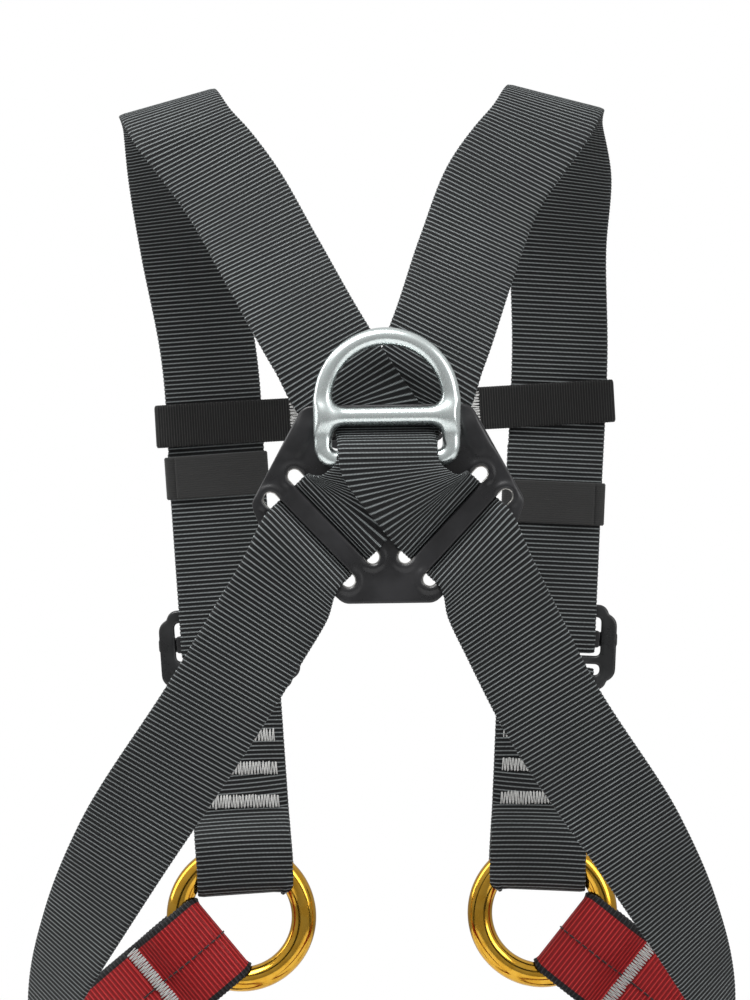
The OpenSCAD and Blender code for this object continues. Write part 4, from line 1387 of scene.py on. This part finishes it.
@dataclass
class ChestStrap:
    """Narrow webbing across the chest: a loop on each front strap and a side-release buckle between."""

    body: str = "chest_strap"
    bar_r: float = 1.7
    turn_x: float = 2.0

    def tilted(self, shape: Shape) -> Shape:
        """The shape tilted with the whole chest strap."""
        return shape.moved(vec(0, 0, 0), -L.chest_tilt, (0.0, 0.0, L.chest_z))

    @property
    def low_y(self) -> float:
        """Depth of the layer on the body's side."""
        return L.main_y - L.webbing_t / 2 - L.run_gap - L.chest_t / 2

    @property
    def high_y(self) -> float:
        """Depth of the outer layer."""
        return L.tail_y + L.webbing_t / 2 + L.run_gap + L.chest_t / 2

    @property
    def lap(self) -> float:
        """Distance between two layers of the narrow webbing."""
        return L.chest_t + L.layer_gap

    def route(self) -> Route:
        """A lapped loop round the left front strap, then on to the buckle's bar and back a little way."""
        cx, up, z = L.front_x(L.chest_z), vec(0, 0, 1), L.chest_z
        mid, turn = (self.low_y + self.high_y) / 2, (self.high_y - self.low_y) / 2
        edge, near = cx - L.webbing_w / 2 - L.run_gap - 1.4, cx + L.webbing_w / 2 + 2
        bar_x, bar_turn = -L.buckle_bar_x, self.bar_r + L.chest_t / 2 + 0.3
        start = [(near + 19, mid - self.lap), (near + 8, mid - self.lap - 0.4), (near - 1, self.low_y),
            (cx, self.low_y)]
        loop = [(edge + self.turn_x * math.cos(math.radians(a)), mid + turn * math.sin(math.radians(a)))
            for a in range(270, 89, -30)]
        away = [(cx, self.high_y), (near - 1, self.high_y), (near + 9, mid + 0.5), (near + 20, mid),
            (bar_x - 7, mid - 0.5), (bar_x - 3, mid - bar_turn + 0.2)]
        hook = [(bar_x + bar_turn * math.cos(math.radians(a)), mid + bar_turn * math.sin(math.radians(a)))
            for a in range(-90, 91, 30)]
        back = [(bar_x - 4, mid + bar_turn), (bar_x - 8.5, mid + self.lap - 0.2),
            (bar_x - 22, mid + self.lap)]
        return Route([(vec(x, y, z), up) for x, y in start + loop + away + hook + back])

    def build(self) -> None:
        """Makes both straps, their bar tacks and the buckle."""
        mid = (self.low_y + self.high_y) / 2
        for side in Side:
            factor, word = -side.value, side.word
            band = Band(self.route().mirrored(factor), L.chest_w, L.chest_t, rib=1.2, relief=0.16)
            Piece(f"{word}_chest_strap", self.tilted(band.shape()), NARROW_WEBBING, "webbing_narrow",
                self.body,
                (f"{word}_chest_webbing",)).place()
            centre = vec(factor * (L.front_x(L.chest_z) + L.webbing_w / 2 + 16),
                mid - self.lap - L.chest_t / 2 + 0.1, L.chest_z)
            tack = BarTack(centre, vec(0, 0, 1), vec(-1, 0, 0), L.chest_w - 3.5, 5.0, seed=40 + side.value)
            Piece(f"{word}_chest_tack_thread", self.tilted(tack.shape()), WHITE_THREAD, "thread_white",
                self.body,
                (f"{word}_chest_bar_tack",)).place()
        for node, name, body in (("chest_buckle_socket", "buckle_socket_shell", self.body),
                ("chest_buckle_plug", "buckle_plug_shell", self.body),
                ("upper_prong", "buckle_upper_prong", "upper_prong"),
                ("lower_prong", "buckle_lower_prong", "lower_prong")):
            Piece(name, moulded(node, 0.3, 3), NYLON, "moulded_black", body, (node,)).place()


# ---------- leg loops ----------


@dataclass
class LegLoop:
    """Red webbing from a hip ring round the thigh, through its buckle and back as a tail."""

    side: Side
    wrap_at: float = 19.0

    @property
    def ring_at(self) -> np.ndarray:
        """Centre of the right hip ring."""
        return vec(L.hip_ring_x, L.front_y, -L.hip_ring_drop)

    @property
    def lean(self) -> np.ndarray:
        """Direction in which the webbing leaves the ring."""
        a = math.radians(L.leg_lean)
        return vec(math.cos(a), 0, -math.sin(a))

    @property
    def across(self) -> np.ndarray:
        """Width direction of the webbing at the ring."""
        a = math.radians(L.leg_lean)
        return vec(math.sin(a), 0, math.cos(a))

    @property
    def buckle_at(self) -> np.ndarray:
        """Centre of the right leg buckle."""
        return vec(104, L.front_y + 6, -L.leg_drop + 119)

    @property
    def buckle_across(self) -> np.ndarray:
        """Width direction of the webbing at the buckle."""
        a = math.radians(L.leg_buckle_turn - 180)
        return vec(-math.cos(a), 0, math.sin(a))

    @property
    def tail_y(self) -> float:
        """Depth of the free tail over the webbing, from the buckle's middle."""
        return -L.layer_y + L.webbing_t + L.layer_gap

    def near_ring(self, out: float, d: float) -> np.ndarray:
        """A point on the webbing's run from the ring."""
        return self.ring_at + self.lean * out + vec(0, d, 0)

    def near_buckle(self, y: float, z: float) -> Station:
        """A station in the leg buckle's frame."""
        return in_frame(self.buckle_at, L.leg_buckle_turn, (0, y, z)), self.buckle_across

    def route(self) -> Route:
        """The webbing's route on the right side."""
        half, wrap = L.half_layer, L.wrap_r
        start = [(self.near_ring(e, d), self.across) for e, d in (
            (86, half - 7), (66, half - 1.8), (46.5, half), (37, wrap))]
        fold = [(self.near_ring(self.wrap_at - wrap * math.sin(math.radians(a)),
            wrap * math.cos(math.radians(a))),
            self.across) for a in range(0, 181, 30)]
        leave = [(self.near_ring(e, d), self.across) for e, d in (
            (37, -wrap), (46.5, -half), (66, -half - 1.8))]
        thigh = [
            (self.near_ring(86, -half - 8.2), unit((0.6, -0.12, 0.78))),
            (vec(L.hip_x - 10, 138, -262), unit((0.42, -0.38, 0.82))),
            (vec(L.hip_x - 0.5, 100, -284), unit((0.04, -0.46, 0.88))),
            (vec(L.hip_x - 6, 58, -L.leg_drop + 84), unit((-0.2, -0.44, 0.86))),
            (vec(L.hip_x - 30, 24, -L.leg_drop + 56), unit((-0.4, -0.32, 0.84))),
            (vec(90, 8, -L.leg_drop + 32), unit((-0.5, -0.15, 0.84))),
            (vec(54, 22, -L.leg_drop + 12), unit((-0.42, 0.1, 0.9))),
            (vec(30, 60, -L.leg_drop), unit((-0.14, 0.14, 0.98))),
            (vec(24, 105, -L.leg_drop + 4), unit((-0.1, -0.18, 0.98))),
            (vec(36, 150, -L.leg_drop + 28), unit((-0.3, -0.45, 0.84))),
            (self.near_buckle(-L.layer_y - 2, 78)[0], unit((-0.72, -0.08, 0.68)))]
        at_buckle = [self.near_buckle(-L.layer_y, 63), self.near_buckle(-L.layer_y, 17)]
        at_buckle += [self.near_buckle(L.layer_y * math.cos(math.radians(a)),
            0.8 - L.layer_y * math.sin(math.radians(a))) for a in range(180, -1, -30)]
        tail = [self.near_buckle(y, z) for y, z in ((L.layer_y, 15), (L.layer_y, 22), (self.tail_y + 0.4, 32),
            (self.tail_y, 42), (self.tail_y, 66))]
        return Route(start + fold + leave + thigh + at_buckle + tail)

    def tab_route(self) -> Route:
        """The short loop that holds the leg buckle, on the right side."""
        rail = -L.adjuster_h / 2 + 7 - 0.4
        turn = [self.near_buckle(L.layer_y * math.cos(math.radians(a)),
            rail + L.layer_y * math.sin(math.radians(a)))
            for a in range(180, -1, -30)]
        return Route([self.near_buckle(-1.2, -52), self.near_buckle(-1.6, -38),
            self.near_buckle(-L.layer_y, -24)]
            + turn + [self.near_buckle(L.layer_y, -24), self.near_buckle(L.half_layer - 0.5, -38),
                self.near_buckle(L.half_layer - 0.1, -52)])

    def build(self) -> None:
        """Makes the webbing, its stitches and tacks, the buckle, its tab and its keeper."""
        word, factor = self.side.word, self.side.value
        ring = Wire((L.hip_ring_x * factor, L.front_y, -L.hip_ring_drop), L.ring_r, L.hip_ring_wire / 2)
        route = self.route().worn(factor)
        band = Band(route, L.webbing_w, L.webbing_t, rings=(ring,))
        Piece(f"{word}_leg_strap", band.shape(), RED_WEBBING, "webbing_red",
            nodes=(f"{word}_leg_webbing",)).place()
        self.centre_stitches(band).place()
        made = [BarTack(self.near_ring(49.7, face * (L.half_layer + L.webbing_t / 2 - 0.1)),
            self.across * face,
            self.lean, L.webbing_w - 4, 5.4, seed=60 + face).shape().mirrored(factor) for face in (-1, 1)]
        Piece(f"{word}_leg_tack_thread", Shape.joined(made), WHITE_THREAD, "thread_white",
            nodes=(f"{word}_leg_bar_tack",)).place()
        made = [BarTack(vec(L.hip_x + L.hip_lap + L.webbing_t / 2 - 0.1, 94, z), vec(0, 1, 0), vec(0, 0, 1),
            L.webbing_w - 8, seed=n + 80).shape().mirrored(factor).moved(vec(L.hip_sway, 0, 0))
            for n, z in enumerate((-277.0, -298.0))]
        Piece(f"{word}_hip_tack_thread", Shape.joined(made), WHITE_THREAD, "thread_white",
            nodes=(f"{word}_hip_stitching",)).place()
        Adjuster(f"{word}_leg_buckle_frame", f"{word}_leg_buckle_bar", f"{word}_leg_buckle_bar",
            self.buckle_at,
            L.leg_buckle_turn, factor).build()
        tab = Band(self.tab_route().mirrored(factor), L.webbing_w, L.webbing_t)
        Piece(f"{word}_leg_tab_loop", tab.shape(), BLACK_WEBBING, "webbing_black",
            nodes=(f"{word}_leg_tab",)).place()
        Keeper(f"{word}_leg_elastic", f"{word}_leg_keeper", f"{word}_leg_keeper",
            in_frame(self.buckle_at, L.leg_buckle_turn, (0, 0, 48)), L.leg_buckle_turn,
            -L.layer_y - L.webbing_t / 2, self.tail_y + L.webbing_t / 2, factor).build()

    def centre_stitches(self, band: Band) -> Piece:
        """The black dashes along the middle of the red webbing, on both faces."""
        length = band.route.sample()[0][-1]
        rows = np.linspace(0, length, int(length / 0.5))
        middle = band.surface(rows, band.columns())
        up = unit(np.cross(np.gradient(middle, axis=0), np.gradient(middle, axis=1)))
        c = middle.shape[1] // 2
        made = [stitches(middle[:, c] + face * up[:, c] * (L.webbing_t / 2 + 0.02), face * up[:, c],
            2.5, 3.9, 0.42)
            for face in (-1, 1)]
        return Piece(f"{self.side.word}_leg_centre_stitch", Shape.joined(made), BLACK_THREAD, "webbing_red")


# ---------- studio ----------


@dataclass
class Studio:
    """Pale surroundings, soft light and the camera behind the wearer."""

    distance: float = 2000.0
    aside: float = -10.0
    right_of_middle: float = 5.6
    roll: float = 0.8
    view_h: float = 429.18455
    sensor: float = 36.0
    gradient: tuple[float, ...] = (-0.6, 0.7, 0.16, 0.72)
    floor_r: float = 1.6
    floor_drop: float = 0.25

    def camera(self) -> None:
        """The camera, level with the middle of the plate."""
        data = bpy.data.cameras.new("back_view")
        data.sensor_width = self.sensor
        data.lens = self.distance * self.sensor / self.view_h
        data.clip_start, data.clip_end = 0.05, 50.0
        camera = bpy.data.objects.new("back_view", data)
        bpy.context.scene.collection.objects.link(camera)
        eye = Vector(((vec(self.aside, -self.distance, 0) - L.origin) * MM).tolist())
        aim = Vector(((vec(-self.right_of_middle, 0, 0) - L.origin) * MM).tolist())
        level = (aim - eye).to_track_quat("-Z", "Y").to_matrix()
        turn = level @ Matrix.Rotation(math.radians(-self.roll), 3, "Z")
        camera.matrix_world = Matrix.Translation(eye) @ turn.to_4x4()
        bpy.context.scene.camera = camera

    def lamp(self, name: str, at: Sequence[float], size: tuple[float, float], power: float) -> None:
        """A soft box aimed at the middle of the harness.

        Args:
            name: the lamp's name.
            at: its place in metres.
            size: its width and height in metres.
            power: its power in watts.
        """
        data = bpy.data.lights.new(name, "AREA")
        data.shape = "RECTANGLE"
        data.size, data.size_y, data.energy = size[0], size[1], power
        lamp = bpy.data.objects.new(name, data)
        bpy.context.scene.collection.objects.link(lamp)
        lamp.location = at
        aim = Vector((0.0, 0.05, -0.1)) - Vector(at)
        lamp.rotation_mode = "QUATERNION"
        lamp.rotation_quaternion = aim.to_track_quat("-Z", "Y")

    def world(self) -> None:
        """White all round for the eye, and a little darker low down for reflections."""
        world = bpy.data.worlds.new("studio")
        bpy.context.scene.world = world
        world.use_nodes = True
        tree = world.node_tree
        tree.nodes.clear()
        place = tree.nodes.new("ShaderNodeTexCoord")
        split = tree.nodes.new("ShaderNodeSeparateXYZ")
        ramp = tree.nodes.new("ShaderNodeMapRange")
        lit, seen = tree.nodes.new("ShaderNodeBackground"), tree.nodes.new("ShaderNodeBackground")
        path, mix = tree.nodes.new("ShaderNodeLightPath"), tree.nodes.new("ShaderNodeMixShader")
        output = tree.nodes.new("ShaderNodeOutputWorld")
        for socket, value in zip(list(ramp.inputs)[1:5], self.gradient):
            socket.default_value = value
        seen.inputs[0].default_value = (1.0, 1.0, 1.0, 1.0)
        for source, target in ((place.outputs["Generated"], split.inputs[0]),
                (split.outputs[2], ramp.inputs[0]),
                (ramp.outputs[0], lit.inputs[1]), (path.outputs["Is Camera Ray"], mix.inputs[0]),
                (lit.outputs[0], mix.inputs[1]), (seen.outputs[0], mix.inputs[2]),
                (mix.outputs[0], output.inputs[0])):
            tree.links.new(source, target)

    def floor(self) -> None:
        """A pale round floor well below the leg loops."""
        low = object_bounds()[0][2] - self.floor_drop
        mesh = bpy.data.meshes.new("floor")
        ring = [(self.floor_r * math.cos(a), self.floor_r * math.sin(a), low)
            for a in np.arange(96) * 2 * math.pi / 96]
        mesh.from_pydata(ring, [], [tuple(range(96))])
        recipe = Recipe("floor_pale")
        tone = recipe.mapped(recipe.noise(3.0), 0.3, 0.7, 0.0, 1.0)
        recipe.set(Base_Color=recipe.mixed(tone, (0.78, 0.78, 0.78), (0.82, 0.82, 0.82)), Roughness=0.7)
        mesh.materials.append(recipe.material)
        floor = bpy.data.objects.new("floor", mesh)
        bpy.context.scene.collection.objects.link(floor)
        floor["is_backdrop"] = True

    def build(self) -> None:
        """Makes the camera, the lamps, the surroundings and the floor."""
        self.camera()
        self.world()
        self.floor()
        self.lamp("key_above", (-0.5, -0.9, 1.5), (1.2, 0.8), 32.0)
        self.lamp("fill_right", (1.6, -1.1, 0.5), (0.8, 1.4), 12.0)
        self.lamp("rim_left", (-1.5, 0.4, 0.7), (0.6, 1.4), 10.0)
        bpy.context.scene.view_settings.view_transform = "Standard"


# ---------- assembly ----------


KEEPER_HEIGHTS = ((Side.LEFT, 12.5), (Side.RIGHT, -2.3))


def chest_keeper(side: Side, z: float) -> Keeper:
    """The elastic keeper on a front strap at a height."""
    word = side.word
    return Keeper(f"{word}_elastic_keeper", f"{word}_strap_keeper", f"{word}_strap_keeper",
        vec(L.front_x(z), 0, z), -L.front_lean, L.main_y - L.webbing_t / 2, L.tail_y + L.webbing_t / 2,
        -side.value)


def main() -> None:
    """Builds the harness round the frame, then the studio."""
    logging.basicConfig(level=logging.INFO, format="%(name)s: %(message)s")
    DorsalPlate().build()
    DorsalRing().build()
    for side, keeper_z in KEEPER_HEIGHTS:
        word = side.word
        MainStrap(side).build()
        FrontStrap(side).build()
        Adjuster(f"{word}_adjuster_frame", f"{word}_adjuster_bar", f"{word}_adjuster_bar",
            vec(L.front_x(L.adjuster_z), L.front_y, L.adjuster_z), -L.front_lean, -side.value).build()
        chest_keeper(side, keeper_z).build()
        HipRing(side).build()
        LegLoop(side).build()
    ChestStrap().build()
    Studio().build()


if __name__ == "__main__":
    main()
